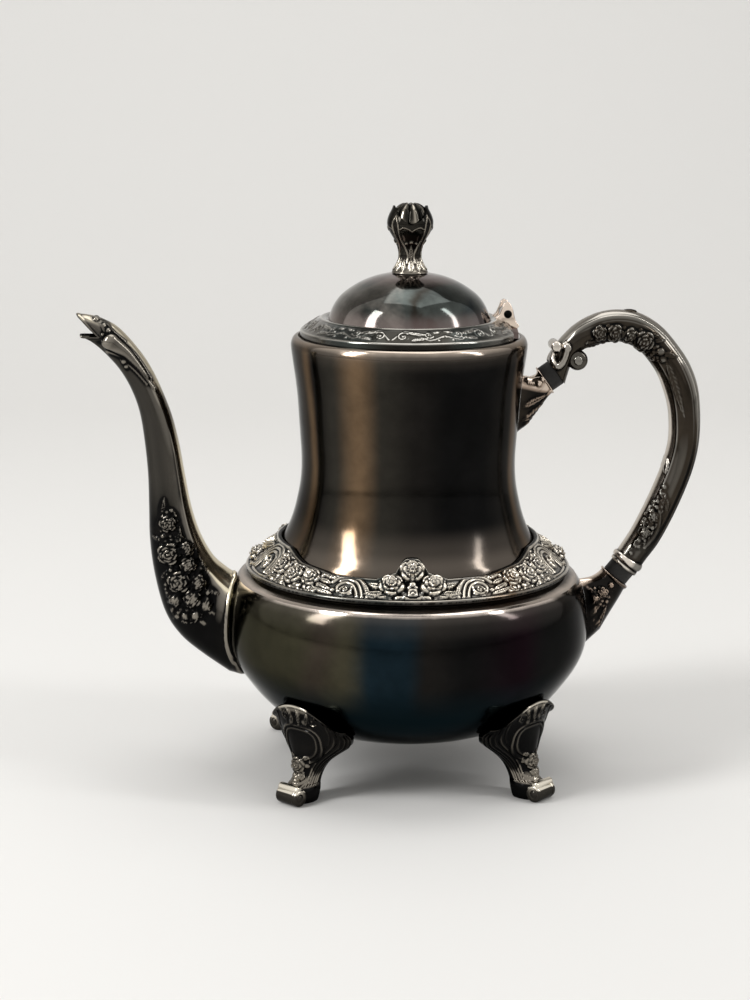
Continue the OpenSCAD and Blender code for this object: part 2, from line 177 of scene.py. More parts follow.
def wire(x, y, line, width, rise=0.8, taper=0.0):
    """A round wire laid along a line; taper thins it towards its end."""
    p = curve(line, 6) if len(line) > 2 else np.array(line, float)
    h = np.zeros_like(x)
    for i in range(len(p) - 1):
        (x0, y0), (x1, y1) = p[i], p[i + 1]
        dx, dy = x1 - x0, y1 - y0
        wide = width * (1 - taper * i / max(1, len(p) - 2))
        near = (np.abs(x - x0) < wide * 3 + abs(dx)) & (np.abs(y - y0) < wide * 3 + abs(dy))
        if not near.any():
            continue
        px, py = x[near] - x0, y[near] - y0
        t = np.clip((px * dx + py * dy) / (dx * dx + dy * dy + 1e-9), 0, 1)
        h[near] = np.maximum(h[near], dome(np.hypot(px - dx * t, py - dy * t) / wide) * wide * rise)
    return h


def button(x, y, cx, cy, size, rise=0.7):
    """A round button or berry."""
    return dome(np.hypot(x - cx, y - cy) / size) * size * rise


def chase(x, y, roses=(), leaves=(), scrolls=(), wires=(), buttons=()):
    """Roses, leaves, scrolls, wires and buttons worked together; each entry gives one's measures."""
    kinds = ((rose, roses), (leaf, leaves), (scroll, scrolls), (wire, wires), (button, buttons))
    return over(*[shape(x, y, *measures) for shape, places in kinds for measures in places])


def fan(x, y, cx, cy, size, lo, hi, ribs, rise=0.3, inner=0.25):
    """Ribs that spread from a point between two angles, as in a shell or a palm leaf."""
    d = np.hypot(x - cx, y - cy) / size
    a = (np.degrees(np.arctan2(y - cy, x - cx)) - lo) % 360 / (hi - lo)
    rib = np.abs(np.sin(math.pi * ribs * a)) ** 0.7
    edge = 0.86 + 0.14 * rib
    top = rib * np.sin(math.pi * np.clip(d / edge, 0, 1) ** 0.8) ** 0.6
    return np.where((a > 0) & (a < 1) & (d > inner) & (d < edge), top * size * rise, 0)


def berries(x, y, size, seed=0.0):
    """Small buds and berries scattered close together, to fill the ground between flowers."""
    h = np.zeros_like(x)
    for i in (-1, 0, 1):
        for j in (-1, 0, 1):
            cx, cy = np.floor(x / size) + i, np.floor(y / size) + j
            jx = np.sin(cx * 12.99 + cy * 78.23 + seed) * 437.5 % 1
            jy = np.sin(cx * 39.35 + cy * 11.14 + seed) * 246.3 % 1
            d = np.hypot(x / size - cx - 0.2 - 0.6 * jx, y / size - cy - 0.2 - 0.6 * jy)
            r = 0.36 + 0.22 * (jx * 7.3 % 1)
            h = np.maximum(h, dome(d / r) * r)
    return h * size


# ---- making pieces ---------------------------------------------------------------------------

def to_frame(bm):
    """Moves a shape from the body's axis to its place in the frame, in metres."""
    bmesh.ops.translate(bm, verts=bm.verts, vec=(AXIS, 0, 0))
    bmesh.ops.scale(bm, verts=bm.verts, vec=(0.001, 0.001, 0.001))


def as_object(name, bm, smooth=True):
    """Puts a finished shape into the scene."""
    mesh = bpy.data.meshes.new(name)
    bm.to_mesh(mesh)
    bm.free()
    for face in mesh.polygons:
        face.use_smooth = smooth
    thing = bpy.data.objects.new(name, mesh)
    bpy.context.scene.collection.objects.link(thing)
    return thing


def make_piece(name, bm, nodes, material, body="pot", crease=60, clean=FILM):
    """Turns a shape in millimetres about the body's axis into a finished piece of the pot."""
    bmesh.ops.remove_doubles(bm, verts=bm.verts, dist=MERGE)
    bmesh.ops.recalc_face_normals(bm, faces=bm.faces)
    to_frame(bm)
    if "relief" not in bm.verts.layers.float:
        rub(bm, clean)
    piece = as_object(name, bm)
    piece.data.set_sharp_from_angle(angle=math.radians(crease))
    piece.data.materials.append(material)
    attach(piece, body)
    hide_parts(*nodes)
    return piece


def rub(bm, clean):
    """Marks how bare the metal is, with one number for the whole shape or one for each point; on several pieces
    the number also holds painted highlights, reflections and shade.
    """
    layer = bm.verts.layers.float.new("relief")
    for vert, bare in zip(bm.verts, np.broadcast_to(clean, len(bm.verts))):
        vert[layer] = bare
    return bm


def spun(line, steps=192):
    """Metal spun on the lathe: a line of radius and height turned once round the axis."""
    bm = bmesh.new()
    verts = [bm.verts.new((r, 0, z)) for r, z in line]
    edges = [bm.edges.new(pair) for pair in zip(verts, verts[1:])]
    if line[0][0] > 0.01 and line[-1][0] > 0.01:
        edges.append(bm.edges.new((verts[-1], verts[0])))
    bmesh.ops.spin(bm, geom=verts + edges, cent=(0, 0, 0), axis=(0, 0, 1), angle=math.tau,
                   steps=steps, use_merge=True)
    return bm


def crests(height, u, v, rows, columns):
    """How far each point of a relief stands over the work round it."""
    order = np.lexsort((np.round(u, 5), np.round(v, 5)))
    sheet = flowed = height[order].reshape(rows + 1, columns + 1)
    for _ in range(FLOW):
        flowed = (np.roll(flowed, 1, 1) + 2 * flowed + np.roll(flowed, -1, 1)) / 4
        tall = np.pad(flowed, ((1, 1), (0, 0)), mode="edge")
        flowed = (tall[:-2] + 2 * tall[1:-1] + tall[2:]) / 4
    crest = np.empty_like(height)
    crest[order] = (sheet - flowed).ravel()
    return crest


def pressed(columns, rows, form, relief, out=1, tight=1.3):
    """Metal pressed from a flat blank: a grid is bent to form(u, v) and pushed out by the relief, which gives a
    height and how bare the metal is, a number that on several pieces also holds painted highlights, reflections
    and shade. u and v run from 0 to 1. Hollows keep more of the tarnish and crests are rubbed, the harder the
    larger tight is."""
    bm = bmesh.new()
    bmesh.ops.create_grid(bm, x_segments=columns, y_segments=rows, size=0.5)
    u, v = np.transpose(np.array([vert.co[:2] for vert in bm.verts]) + 0.5)
    place = form(u, v)
    e = 1e-4
    along = form(np.clip(u + e, 0, 1), v) - form(np.clip(u - e, 0, 1), v)
    across = form(u, np.clip(v + e, 0, 1)) - form(u, np.clip(v - e, 0, 1))
    normal = np.cross(along, across) * out
    normal /= np.maximum(np.linalg.norm(normal, axis=1), 1e-12)[:, None]
    height, shade = relief(u, v, place, normal)
    bare = shade + tight * crests(height, u, v, rows, columns)
    rub(bm, np.clip(bare, 0, np.maximum(shade, RUBBED)))
    for vert, co in zip(bm.verts, place + normal * height[:, None]):
        vert.co = co
    return bm


def drawn_out(bm, extruded, vec):
    """Moves what an extrusion has made."""
    bmesh.ops.translate(bm, verts=[g for g in extruded["geom"] if isinstance(g, bmesh.types.BMVert)], vec=vec)
    bmesh.ops.recalc_face_normals(bm, faces=bm.faces)


def bar(points, depth, y, edge=0.4):
    """A flat plate cut to an outline in x and z, with its edges eased."""
    bm = bmesh.new()
    face = bm.faces.new([bm.verts.new((x, y, z)) for x, z in points])
    drawn_out(bm, bmesh.ops.extrude_face_region(bm, geom=[face]), (0, depth, 0))
    bmesh.ops.bevel(bm, geom=bm.edges, offset=edge, affect="EDGES", segments=3, profile=0.5, material=-1)
    return bm


def rod(radius, length, centre, direction=(0, 1, 0), edge=0.3, segments=64):
    """A round rod or disc with eased edges, centred on a point."""
    bm = bmesh.new()
    bmesh.ops.create_cone(bm, cap_ends=True, segments=segments, radius1=radius, radius2=radius, depth=length)
    rims = [e for e in bm.edges if abs(e.verts[0].co.z - e.verts[1].co.z) < 1e-6]
    bmesh.ops.bevel(bm, geom=rims, offset=edge, affect="EDGES", segments=4, profile=0.5, material=-1)
    turn = Vector((0, 0, 1)).rotation_difference(Vector(direction)).to_matrix()
    bmesh.ops.rotate(bm, verts=bm.verts, cent=(0, 0, 0), matrix=turn)
    bmesh.ops.translate(bm, verts=bm.verts, vec=centre)
    return bm


def bead(radius, centre, squash=(1, 1, 1)):
    """A ball, flattened by its squash along x, y and z."""
    bm = bmesh.new()
    bmesh.ops.create_uvsphere(bm, u_segments=32, v_segments=20, radius=radius)
    bmesh.ops.scale(bm, verts=bm.verts, vec=squash)
    bmesh.ops.translate(bm, verts=bm.verts, vec=centre)
    return bm


def joined(*parts):
    """Several closed shells kept together as one piece."""
    whole = bmesh.new()
    for part in parts:
        scrap = bpy.data.meshes.new("scrap")
        part.to_mesh(scrap)
        whole.from_mesh(scrap)
        part.free()
        bpy.data.meshes.remove(scrap)
    return whole


# ---- shader nodes ----------------------------------------------------------------------------

def new_material(name):
    """A new material, with its node tree and its shader."""
    material = bpy.data.materials.new(name)
    material.use_nodes = True
    return material, material.node_tree, material.node_tree.nodes["Principled BSDF"]


def is_outlet(value):
    """Tells another node's outlet from a plain number or tint."""
    return isinstance(value, bpy.types.NodeSocket)


def feed(tree, node, inlets):
    """Sets a node's inlets to numbers and tints, or links them to the outlets of other nodes."""
    for inlet, value in inlets.items():
        if is_outlet(value):
            tree.links.new(value, node.inputs[inlet])
        else:
            node.inputs[inlet].default_value = value


def outlet_of(tree, kind, outlet, inlets=None):
    """Adds a node of a kind and gives one of its outlets."""
    node = tree.nodes.new("ShaderNode" + kind)
    feed(tree, node, inlets or {})
    return node.outputs[outlet]


def noise(tree, place, scale, detail, roughness=0.5, distortion=0.0):
    """Cloudy noise through the metal, from 0 to 1."""
    return outlet_of(tree, "TexNoise", "Fac", {"Vector": place, "Scale": scale, "Detail": detail,
                                               "Roughness": roughness, "Distortion": distortion})


def spread(tree, value, low, high, least=0.0, most=1.0):
    """Turns the range from low to high into the range from least to most."""
    return outlet_of(tree, "MapRange", "Result", {"Value": value, "From Min": low, "From Max": high,
                                                  "To Min": least, "To Max": most})


def worked_out(tree, operation, *terms):
    """One step of arithmetic on numbers and outlets."""
    node = tree.nodes.new("ShaderNodeMath")
    node.operation = operation
    feed(tree, node, dict(enumerate(terms)))
    return node.outputs["Value"]


def laid_over(tree, share, under, top, blend="MIX"):
    """Lays a tint or another colour over a colour, by a share."""
    node = tree.nodes.new("ShaderNodeMix")
    node.data_type, node.blend_type = "RGBA", blend
    feed(tree, node, {"Factor": share, "A": under, "B": top if is_outlet(top) else (*top, 1)})
    return node.outputs["Result"]


def ramp(tree, value, stops, ease="EASE"):
    """A colour ramp from stops of place and tint."""
    node = tree.nodes.new("ShaderNodeValToRGB")
    node.color_ramp.interpolation = ease
    ends = node.color_ramp.elements
    while len(ends) < len(stops):
        ends.new(0.5)
    for end, (where, tint) in zip(ends, stops):
        end.position = where
        end.color = (*tint, 1)
    feed(tree, node, {"Fac": value})
    return node.outputs["Color"]


def roughened(tree, shader, height, strength, distance):
    """Gives the surface a fine unevenness."""
    normal = outlet_of(tree, "Bump", "Normal", {"Height": height, "Strength": strength, "Distance": distance})
    feed(tree, shader, {"Normal": normal})


# ---- finishes --------------------------------------------------------------------------------

CLOUDS = (0.3, 0.7)     # nearly all of a noise lies between these
BODY = 60               # tints run across the body from this far left of its axis to this far right


def axes_of(tree, vector):
    """The x and z of a place or a direction."""
    node = tree.nodes.new("ShaderNodeSeparateXYZ")
    feed(tree, node, {"Vector": vector})
    return node.outputs["X"], node.outputs["Z"]


def from_spout_to_handle(tree, place, around):
    """From 0 at the spout's side to 1 at the handle's: by x, or by the way the wall faces with around."""
    if not around:
        return spread(tree, axes_of(tree, place)[0], (AXIS - BODY) / 1000, (AXIS + BODY) / 1000)
    flat = outlet_of(tree, "Mapping", "Vector", {"Vector": place, "Location": (-AXIS / 1000, 0, 0),
                                                 "Scale": (1, 1, 0)})
    facing = tree.nodes.new("ShaderNodeVectorMath")
    facing.operation = "NORMALIZE"
    feed(tree, facing, {0: flat})
    return spread(tree, axes_of(tree, facing.outputs["Vector"])[0], -1, 1)


def tarnish(name, across, patch, wander, stretch=(1, 1, 1), shine=0.1, worn=(0.62, 0.58, 0.54),
            crest=None, pitch=(0.004, 0.004, 0.004), clean=(), deep=None, mottling=0.5, edge=1.0,
            satin=0.0, around=False):
    """Polished silver plate under a film of tarnish.
    across gives the film's tints from the spout's side to the handle's, in patches that wander.
    clean gives heights in mm and how much worn, bare metal shows there, and deep gives a tint that the film
    turns to between two heights; on the neck and the bowl these also lay painted highlights and a painted dark
    reflection. edge under 1 darkens the metal where it turns away. Raised work has a crest: its hollows are
    packed with pitch, its crests are rubbed to that tint and then worn bare, and satin dulls the barest metal;
    on several pieces the same number also carries painted highlights, reflections and shade."""
    material, tree, shader = new_material(name)
    place = outlet_of(tree, "TexCoord", "Object")
    height = axes_of(tree, place)[1]

    stretched = outlet_of(tree, "Mapping", "Vector", {"Vector": place, "Scale": stretch})
    drift = worked_out(tree, "MULTIPLY_ADD", noise(tree, stretched, patch, 4, 0.5, 0.6), wander, -wander / 2)
    side = worked_out(tree, "ADD", from_spout_to_handle(tree, place, around), drift)
    cloud = noise(tree, place, 55, 8, 0.65)
    clouding = spread(tree, cloud, *CLOUDS, 0.45, 1.4)
    colour = laid_over(tree, mottling, ramp(tree, side, across), clouding, "MULTIPLY")
    roughness = spread(tree, cloud, *CLOUDS, shine * 0.6, shine * 1.6)
    if deep:
        tint, start, full = deep
        colour = laid_over(tree, spread(tree, height, start / 1000, full / 1000), colour, tint)
    if clean:
        level = worked_out(tree, "MULTIPLY_ADD", cloud, 0.006, spread(tree, height, 0, TOP / 1000))
        bare = ramp(tree, level, [(z / TOP + 0.003, (share, share, share)) for z, share in clean])
        colour = laid_over(tree, bare, colour, worn)
    if crest:
        node = tree.nodes.new("ShaderNodeAttribute")
        node.attribute_name = "relief"
        relief = node.outputs["Fac"]
        colour = laid_over(tree, spread(tree, relief, *CRESTS), colour, crest)
        bare, sunk = spread(tree, relief, *WORN), spread(tree, relief, *HOLLOWS)
        colour = laid_over(tree, sunk, laid_over(tree, bare, colour, worn), pitch)
        roughness = worked_out(tree, "MULTIPLY_ADD", bare, satin, roughness)
        roughness = worked_out(tree, "MULTIPLY_ADD", sunk, 0.4, roughness)
    feed(tree, shader, {"Metallic": 1.0, "Specular Tint": (edge, edge, edge, 1), "Base Color": colour,
                        "Roughness": roughness})
    roughened(tree, shader, noise(tree, place, 420, 3), 0.12, 0.00006)
    return material


def black_disc():
    """Pressed fibre disc: matt black with a faint speckle."""
    material, tree, shader = new_material("insulator_black")
    speck = noise(tree, outlet_of(tree, "TexCoord", "Object"), 700, 4)
    shade = ramp(tree, speck, [(0, (0.004, 0.004, 0.004)), (1, (0.02, 0.018, 0.016))], "LINEAR")
    feed(tree, shader, {"Base Color": shade, "Roughness": 0.55, "Specular IOR Level": 0.3})
    roughened(tree, shader, speck, 0.2, 0.0001)
    return material


ink, soot, smoke = (0.006, 0.006, 0.006), (0.012, 0.011, 0.010), (0.026, 0.024, 0.020)
umber, bronze, copper = (0.036, 0.029, 0.022), (0.125, 0.082, 0.048), (0.30, 0.20, 0.15)
olive, teal, wine = (0.034, 0.032, 0.020), (0.008, 0.016, 0.022), (0.008, 0.004, 0.006)
moss, slate, pewter = (0.046, 0.042, 0.027), (0.055, 0.062, 0.058), (0.17, 0.16, 0.145)

# Neck: the bronze bands close to each side and on the spout's side of the middle, laid by the way the wall
# faces, are painted reflections among the tarnish tints; the bright bands of clean at the foot of the flare and
# at the rim are painted highlights, the rim's partly worn.
neck_finish = tarnish(
    "neck_tarnish", [(0, soot), (0.025, umber), (0.045, bronze), (0.066, soot), (0.13, smoke),
                     (0.235, bronze), (0.34, smoke), (0.5, soot), (0.64, ink), (0.79, ink), (0.93, soot),
                     (0.955, bronze), (0.975, umber), (1, soot)],
    12, 0.08, (1, 1, 0.35), shine=0.12, worn=(0.5, 0.42, 0.35), edge=0.565, around=True,
    clean=[(0, 0), (104, 0.12), (111, 0.18), (118, 0.08), (128, 0), (198, 0), (203, 0.03), (206, 0.18),
           (208, 0.8)])
# Bowl: the deep tint darkens the bowl from 62 mm down to 45 mm, a painted dark reflection; the bright line of
# clean at the lip, 94 to 96 mm, is worn metal with a painted highlight.
bowl_finish = tarnish(
    "bowl_tarnish", [(0, olive), (0.1, umber), (0.19, moss), (0.3, teal), (0.45, teal), (0.55, soot),
                     (0.7, ink), (0.9, wine), (1, ink)],
    12, 0.24, shine=0.11, worn=(0.72, 0.63, 0.56), edge=0.57, deep=((0.003, 0.009, 0.012), 62, 45),
    clean=[(0, 0), (82, 0), (89, 0.02), (93, 0.06), (93.7, 0.16), (94.4, 0.95), (95.4, 0.95), (96.4, 0.12)])
# Dome: tarnish colours, laid lighter on the spout's side and darker right of the middle as painted light.
dome_finish = tarnish(
    "dome_tarnish", [(0, pewter), (0.22, pewter), (0.34, pewter), (0.44, slate), (0.54, smoke), (0.62, slate),
                     (0.72, slate), (0.82, teal), (1, pewter)],
    32, 0.7, shine=0.09, worn=(0.30, 0.22, 0.21), edge=0.9, mottling=1.0,
    clean=[(0, 0.3), (214, 0.55), (218, 0.3), (224, 0), (233, 0), (236, 0.4), (240, 0.6)])
spout_finish = tarnish(
    "spout_tarnish", [(0, ink), (0.25, soot), (0.5, umber), (1, smoke)],
    20, 1.0, worn=(0.88, 0.79, 0.6), crest=(0.22, 0.2, 0.17), edge=0.72, satin=0.1)
handle_finish = tarnish(
    "handle_tarnish", [(0, umber), (0.3, smoke), (0.6, slate), (1, umber)],
    22, 1.0, worn=(0.72, 0.66, 0.59), crest=(0.2, 0.19, 0.17), edge=0.72, satin=0.1)
cast_finish = tarnish(
    "cast_tarnish", [(0, pewter), (0.3, slate), (0.5, pewter), (0.75, bronze), (1, pewter)],
    30, 1.2, worn=(0.86, 0.8, 0.69), crest=(0.58, 0.53, 0.45))
lid_finish = tarnish(
    "lid_tarnish", [(0, ink), (0.12, pewter), (0.24, slate), (0.4, smoke), (0.6, smoke), (0.75, slate),
                    (0.88, pewter), (1, copper)],
    26, 0.3, crest=(0.48, 0.46, 0.42), pitch=soot)
foot_finish = tarnish(
    "foot_tarnish", [(0, ink), (0.3, soot), (0.45, smoke), (0.6, ink), (1, ink)],
    40, 0.6, worn=(0.88, 0.82, 0.7), crest=(0.2, 0.18, 0.15), edge=0.66)
socket_finish = tarnish(
    "socket_tarnish", [(0, copper), (0.5, umber), (0.9, umber), (1, soot)],
    30, 0.3, shine=0.12, worn=(0.78, 0.66, 0.56), crest=(0.3, 0.23, 0.18))
disc_finish = black_disc()


# ---- bowl, neck and rims ---------------------------------------------------------------------

bowl_side = curve([(28, 21), (40, 22.5), (50, 25.2), (58, 28.7), (65.6, 33.8), (71.5, 39.6), (76.4, 45.8),
                   (80.5, 51.7), (83.7, 57.8), (85.5, 64), (85.97, 70.5), (85.6, 77), (84.5, 84.5), (82.5, 91),
                   (80.2, 94.7)], 6)
bowl_side[-1] = (80.2, 94.4)
bowl_line = np.vstack([
    (0, 21), bowl_side, (79.6, 95.0), (78.6, 95.3), shoulder(77), shoulder(70), shoulder(58),
    (58, shoulder(58)[1] - 1.5), (76, shoulder(76)[1] - 1.6), inner_line(bowl_side, WALL)[::2], (0, 22.2)])


def strainer(bowl_piece):
    """Drills the strainer's twelve holes through the wall behind the spout."""
    drills = joined(*[rod(2.4, 16, (-82, y, z), (1, 0, 0), edge=0.05, segments=24)
                      for y in (-7, 0, 7) for z in (58, 66, 74, 82)])
    to_frame(drills)
    tool = as_object("drills", drills, smooth=False)
    cut = bowl_piece.modifiers.new("strainer", "BOOLEAN")
    cut.object, cut.operation, cut.solver = tool, "DIFFERENCE", "EXACT"
    drilled = bpy.data.meshes.new_from_object(bowl_piece.evaluated_get(bpy.context.evaluated_depsgraph_get()))
    bowl_piece.modifiers.clear()
    bowl_piece.data = drilled
    bpy.data.objects.remove(tool)


strainer(make_piece("bowl_sheet", spun(bowl_line, 224), ["bowl"], bowl_finish, crease=30))

neck_side = curve([shoulder(62.2), (61.4, 108.8), (60.2, 111), (58.2, 114.6), (55.9, 119.6), (53.9, 125.4),
                   (52.3, 132), (51, 139), (50.4, 146), (50.4, 153), (50.9, 161), (51.5, 170), (52.1, 179),
                   (53.1, 188), (54.3, 196), (55.1, 202)], 6)
neck_rim = curve([(55.1, 202), (55.3, 204.4), (55, 206.2), (54.3, 207.7), (53.3, 208.5), (52, 208.7)], 5)
neck_line = np.vstack([neck_side, neck_rim[1:], (52, LID), (53.3, LID), (54.1, 205.6),
                       neck_side[::-3] - (WALL, 0)])
make_piece("neck_sheet", spun(neck_line, 224), ["neck"], neck_finish, crease=30)


# ---- shoulder band: roses, volutes and leaves, the same on each quarter -----------------------

BAND_TURN = -3          # degrees that the middle rose stands round from the front
FACE = 0.80             # share of the blank that makes the face
MM_PER_DEGREE = 1.169   # along the face
VOLUTE = (84, 9.6)      # millimetres from the middle of the front, and up the face
tall_face = curve([(76.9, 99.3), (75.4, 100.2), (72.4, 102.4), (68.2, 106.2), (64.2, 110.2), (61, 113.6),
                   (59.5, 116)], 5)
low_face = curve([(76.9, 99.3), (75.4, 100.2), (72.4, 102.4), (69.4, 104.9), (67, 106.5), (65.2, 107.1)], 6)
band_foot = [shoulder(62.8), shoulder(75), (75.4, 98.2), (76.9, 98.2), (76.9, 99.3)]
tall_back = [(59.5, 116), (58.8, 116.4), (58.2, 115.4), (59.4, 112.8), (60.7, 110.8), (61.8, 108.6),
             *band_foot]
low_back = [(65.2, 107.1), (64.4, 107.2), (63.4, 107.1), (62.7, 106.9), (62.4, 106.6), (62.3, 106.4),
            *band_foot]
TALL, LOW = distances(tall_face)[-1], distances(low_face)[-1]


def band_fold(u):
    """Degrees from the middle of the front or back, up to 90 at the spout and the handle."""
    return 90 - np.abs(np.abs((u * 360 + 180) % 360 - 180) - 90)


def band_top(fold):
    """How far up the scalloped upper edge stands."""
    return np.interp(fold, [0, 2.6, 4.2, 5.4, 6.4, 8, 10.4, 12.4, 14, 33, 38, 50, 57, 64, 90],
                     [TALL, TALL - 0.3, TALL - 1.8, 20, 17.6, 16.8, 16.2, 15, LOW, LOW, LOW + 1, LOW + 2.4,
                      18.8, 21.4, 21.4])


def band_section(v, face, back):
    """A section of the band: up its face as far as FACE, then over its edge and down its back."""
    run = distances(face)
    up = read_off(face, np.clip(v / FACE, 0, 1), run / run[-1])
    down = read_off(back, np.clip((v - FACE) / (1 - FACE), 0, 1) * (len(back) - 1))
    return [np.where(v < FACE, a, b) for a, b in zip(up, down)]


def band_form(u, v):
    """The ring, from its low section to its tall one by how high the edge stands."""
    lift = (band_top(band_fold(u)) - LOW) / (TALL - LOW)
    low, tall = band_section(v, low_face, low_back), band_section(v, tall_face, tall_back)
    r, z = [a + (b - a) * lift for a, b in zip(low, tall)]
    return round_axis(r, u * math.tau + math.radians(BAND_TURN - 90), z)


def arch(r):
    """A round arch of wire over the large volute."""
    x, y = VOLUTE
    top = [(x + across * r, y + up * r)
           for across, up in ((-0.94, 0.36), (-0.5, 0.88), (0, 1), (0.5, 0.88), (0.94, 0.36))]
    return [(x - r, 4.4), *top, (x + r, 4.4)]


def band_flowers(x, y):
    """x is millimetres from the middle of the front, and y is millimetres up the face."""
    return over(
        chase(x, y,
              roses=[(0, 17.2, 6.0, 0.3), (8.9, 9.4, 5.7, 1.1), (47.1, 9.2, 4.7, 0.2), (57.3, 8.4, 5.0, 0.9),
                     (68.2, 11.2, 5.1, 0.4), (105.2, 7.6, 5.2, 0.7)],
              scrolls=[(0, 5.4, 4.6, 0.5, -1), (29.2, 5.8, 3.6, 2.6, 1, 1.6), (46, 3.5, 2.8, 2.0),
                       (56.5, 15.2, 2.7, 1.0), (*VOLUTE, 4.6, 2.2, -1)],
              leaves=[(9.5, 4.6, 7, -22, 1.9, 0.2), (12.4, 4.8, 8, -10, 2.2, 0.1, 0.8),
                      (12.6, 8.6, 7, 4, 2.0, 0.1, 0.8), (17.6, 2.2, 10, 72, 1.3, -0.1, 0.8),
                      (16.4, 2.0, 8, 58, 1.2, -0.1, 0.8), (15.6, 1.8, 6, 38, 1.1, -0.1, 0.8),
                      (33.5, 2.4, 11, 6, 1.5, 0.12, 0.8), (35.4, 4.8, 9, 14, 1.5, 0.1, 0.8),
                      (36.4, 8.2, 8, 18, 1.4, -0.1, 0.8), (34.6, 11.2, 9, 14, 1.3, -0.1, 0.8),
                      (50, 2.6, 7, 4, 1.2), (59, 2.8, 8, 2, 1.3), (66, 4.4, 9, -6, 1.8, 0.1),
                      (64.5, 17, 8, 16, 1.7), (92.4, 4.4, 8, 50, 1.6), (98, 4.6, 6, 75, 1.7)],
              wires=[([(18.4, 2.2), (20.2, 7.4), (23.4, 11.8), (28, 13.3), (33, 12.2), (35.8, 9.2)], 0.95),
                     ([(20.6, 2.0), (22.0, 6.4), (24.4, 10.2), (28.4, 11.6), (32.4, 10.4)], 0.85),
                     ([(22.6, 1.9), (23.8, 5.4), (25.8, 8.4), (28.8, 9.8), (31.6, 8.8), (32.8, 6.6),
                       (31.8, 4.6)], 0.85, 0.9),
                     *[(arch(r), 0.85) for r in (5.8, 8, 10.2)],
                     ([(72, 3.2), (76, 2.4), (84, 2.2), (92, 3)], 0.7)],
              buttons=[(0, 10.6, 1.7), (4.6, 13.6, 1.4), (6.2, 3.2, 1.3), (12.6, 14.2, 1.3),
                       (26.6, 4.2, 1.3), (34.6, 5.0, 1.2), (41.6, 6.4, 1.2), (42.4, 12.2, 1.2),
                       (52.2, 4.0, 1.3), (52.4, 13.0, 1.4), (62.8, 15.4, 1.4), (62.8, 4.6, 1.3),
                       (97.6, 14.6, 1.5), (96.4, 10.2, 1.3)]),
        fan(x, y, 105.2, 8, 13.5, 35, 145, 11, 0.16, 0.42),
        0.75 * berries(x, y, 2.7, 1.3) * dome(np.hypot((x - 4) / 13, (y - 9) / 10)),
        0.75 * berries(x, y, 2.6, 4.1) * soft(39, 42, x) * (1 - soft(74, 77, x)),
        0.6 * berries(x, y, 2.6, 2.2) * soft(92, 95, x))


def band_relief(u, v, place, normal):
    """The flowers within two beaded rims, on a dark ground."""
    fold = band_fold(u)
    top = band_top(fold)
    y = v / FACE * top
    face = v < FACE
    h = band_flowers(fold * MM_PER_DEGREE, y) * soft(1.4, 2.4, y) * (1 - soft(top - 2.2, top - 1.0, y))
    rims = over(dome((y - 0.9) / 0.8) * 0.55, dome((y - top + 0.9) / 0.8) * 0.6)
    # back, the band's back and underside, is packed near black: painted shade, the dark groove under the band.
    ground, back = 0.36, 0.2
    return over(h * 1.1, rims) * face, np.where(face, np.where(h < 0.15, ground, FILM) + h * 0.06, back)


make_piece("shoulder_band_flowers", pressed(1150, 74, band_form, band_relief, tight=1.9), ["shoulder_band"],
           cast_finish, crease=70)


# ---- lid -------------------------------------------------------------------------------------

dome_line = np.vstack([
    curve(over_lid((38, 9), (35.6, 15), (32.4, 19.6), (28, 23.2), (22.4, 26.5), (16.3, 28.9), (11, 30.1),
                   (9, 30.4)), 8),
    over_lid((2, 30.4), (2, 29.2), (9, 29.2), (16, 27.6), (21.6, 25.2), (26.7, 21.8), (30.4, 18.8), (33.7, 15),
             (36.8, 9))])
make_piece("lid_dome_sheet", spun(dome_line), ["lid_dome"], dome_finish, "lid", crease=35)

border_face = curve(over_lid((51, 3.4), (49.6, 4.9), (46, 7.2), (43.4, 8.8), (41.4, 9.6), (39.6, 9.8),
                             (38.1, 9)), 4)
border_line = np.vstack([
    border_face, over_lid((36.3, 9), (36.3, 7.7), (40.6, 7.7), (45.2, 5.1), (49.4, 3), (49.4, 0.2), (50.7, 0.2),
                          (51, 0.5), (51, 1.8)), border_face[:1]])
border_run, face_end = distances(border_line), distances(border_face)[-1]
REPEAT = 30        # degrees that one repeat of the border takes
BORDER_TALL = 15   # the face's length, in the units of its pattern
BORDER_R = 47      # radius at which the pattern's width is measured


def border_form(u, v):
    """The flange's section, turned once round the axis."""
    r, z = read_off(border_line, v * border_run[-1], border_run)
    return round_axis(r, u * math.tau - math.pi / 2, z)


def border_relief(u, v, place, normal):
    """Twelve repeats of a leafy scroll with beads between, turned over in every second one."""
    s = v * border_run[-1]
    y = s / face_end * BORDER_TALL
    part = u * 360 + REPEAT / 2
    x = (part % REPEAT - REPEAT / 2) * math.pi / 180 * BORDER_R * np.where(part // REPEAT % 2 == 0, 1, -1)
    g = chase(x, y,
              scrolls=[(-7.0, 5.6, 3.1, 0.6, 1, 1.9), (5.0, 6.8, 2.6, 0.4, -1)],
              leaves=[(-5.2, 8.6, 10, -16, 1.5, 0.12), (-3.4, 3.0, 9, 16, 1.4, -0.12),
                      (7.2, 8.2, 5, 12, 1.0)],
              wires=[([(-11.5, 3.4), (-6, 9.4), (0, 6.4), (5, 3.2), (12, 6)], 0.6)],
              buttons=[(0.6, 4.2, 0.8), (9.0, 3.0, 0.8), (9.6, 8.4, 1.0), (11.4, 5.4, 0.8)])
    on_face = soft(1.4, 2.2, y) * (1 - soft(10.2, 11.0, y))
    rims = over(dome((y - 0.9) / 0.6), dome((y - 11.6) / 0.6)) * 0.35
    h = over(g * 0.62 * on_face, rims) * (s < face_end)
    return h, np.where(s < face_end, 0.48 + h * 0.08, 0.3)


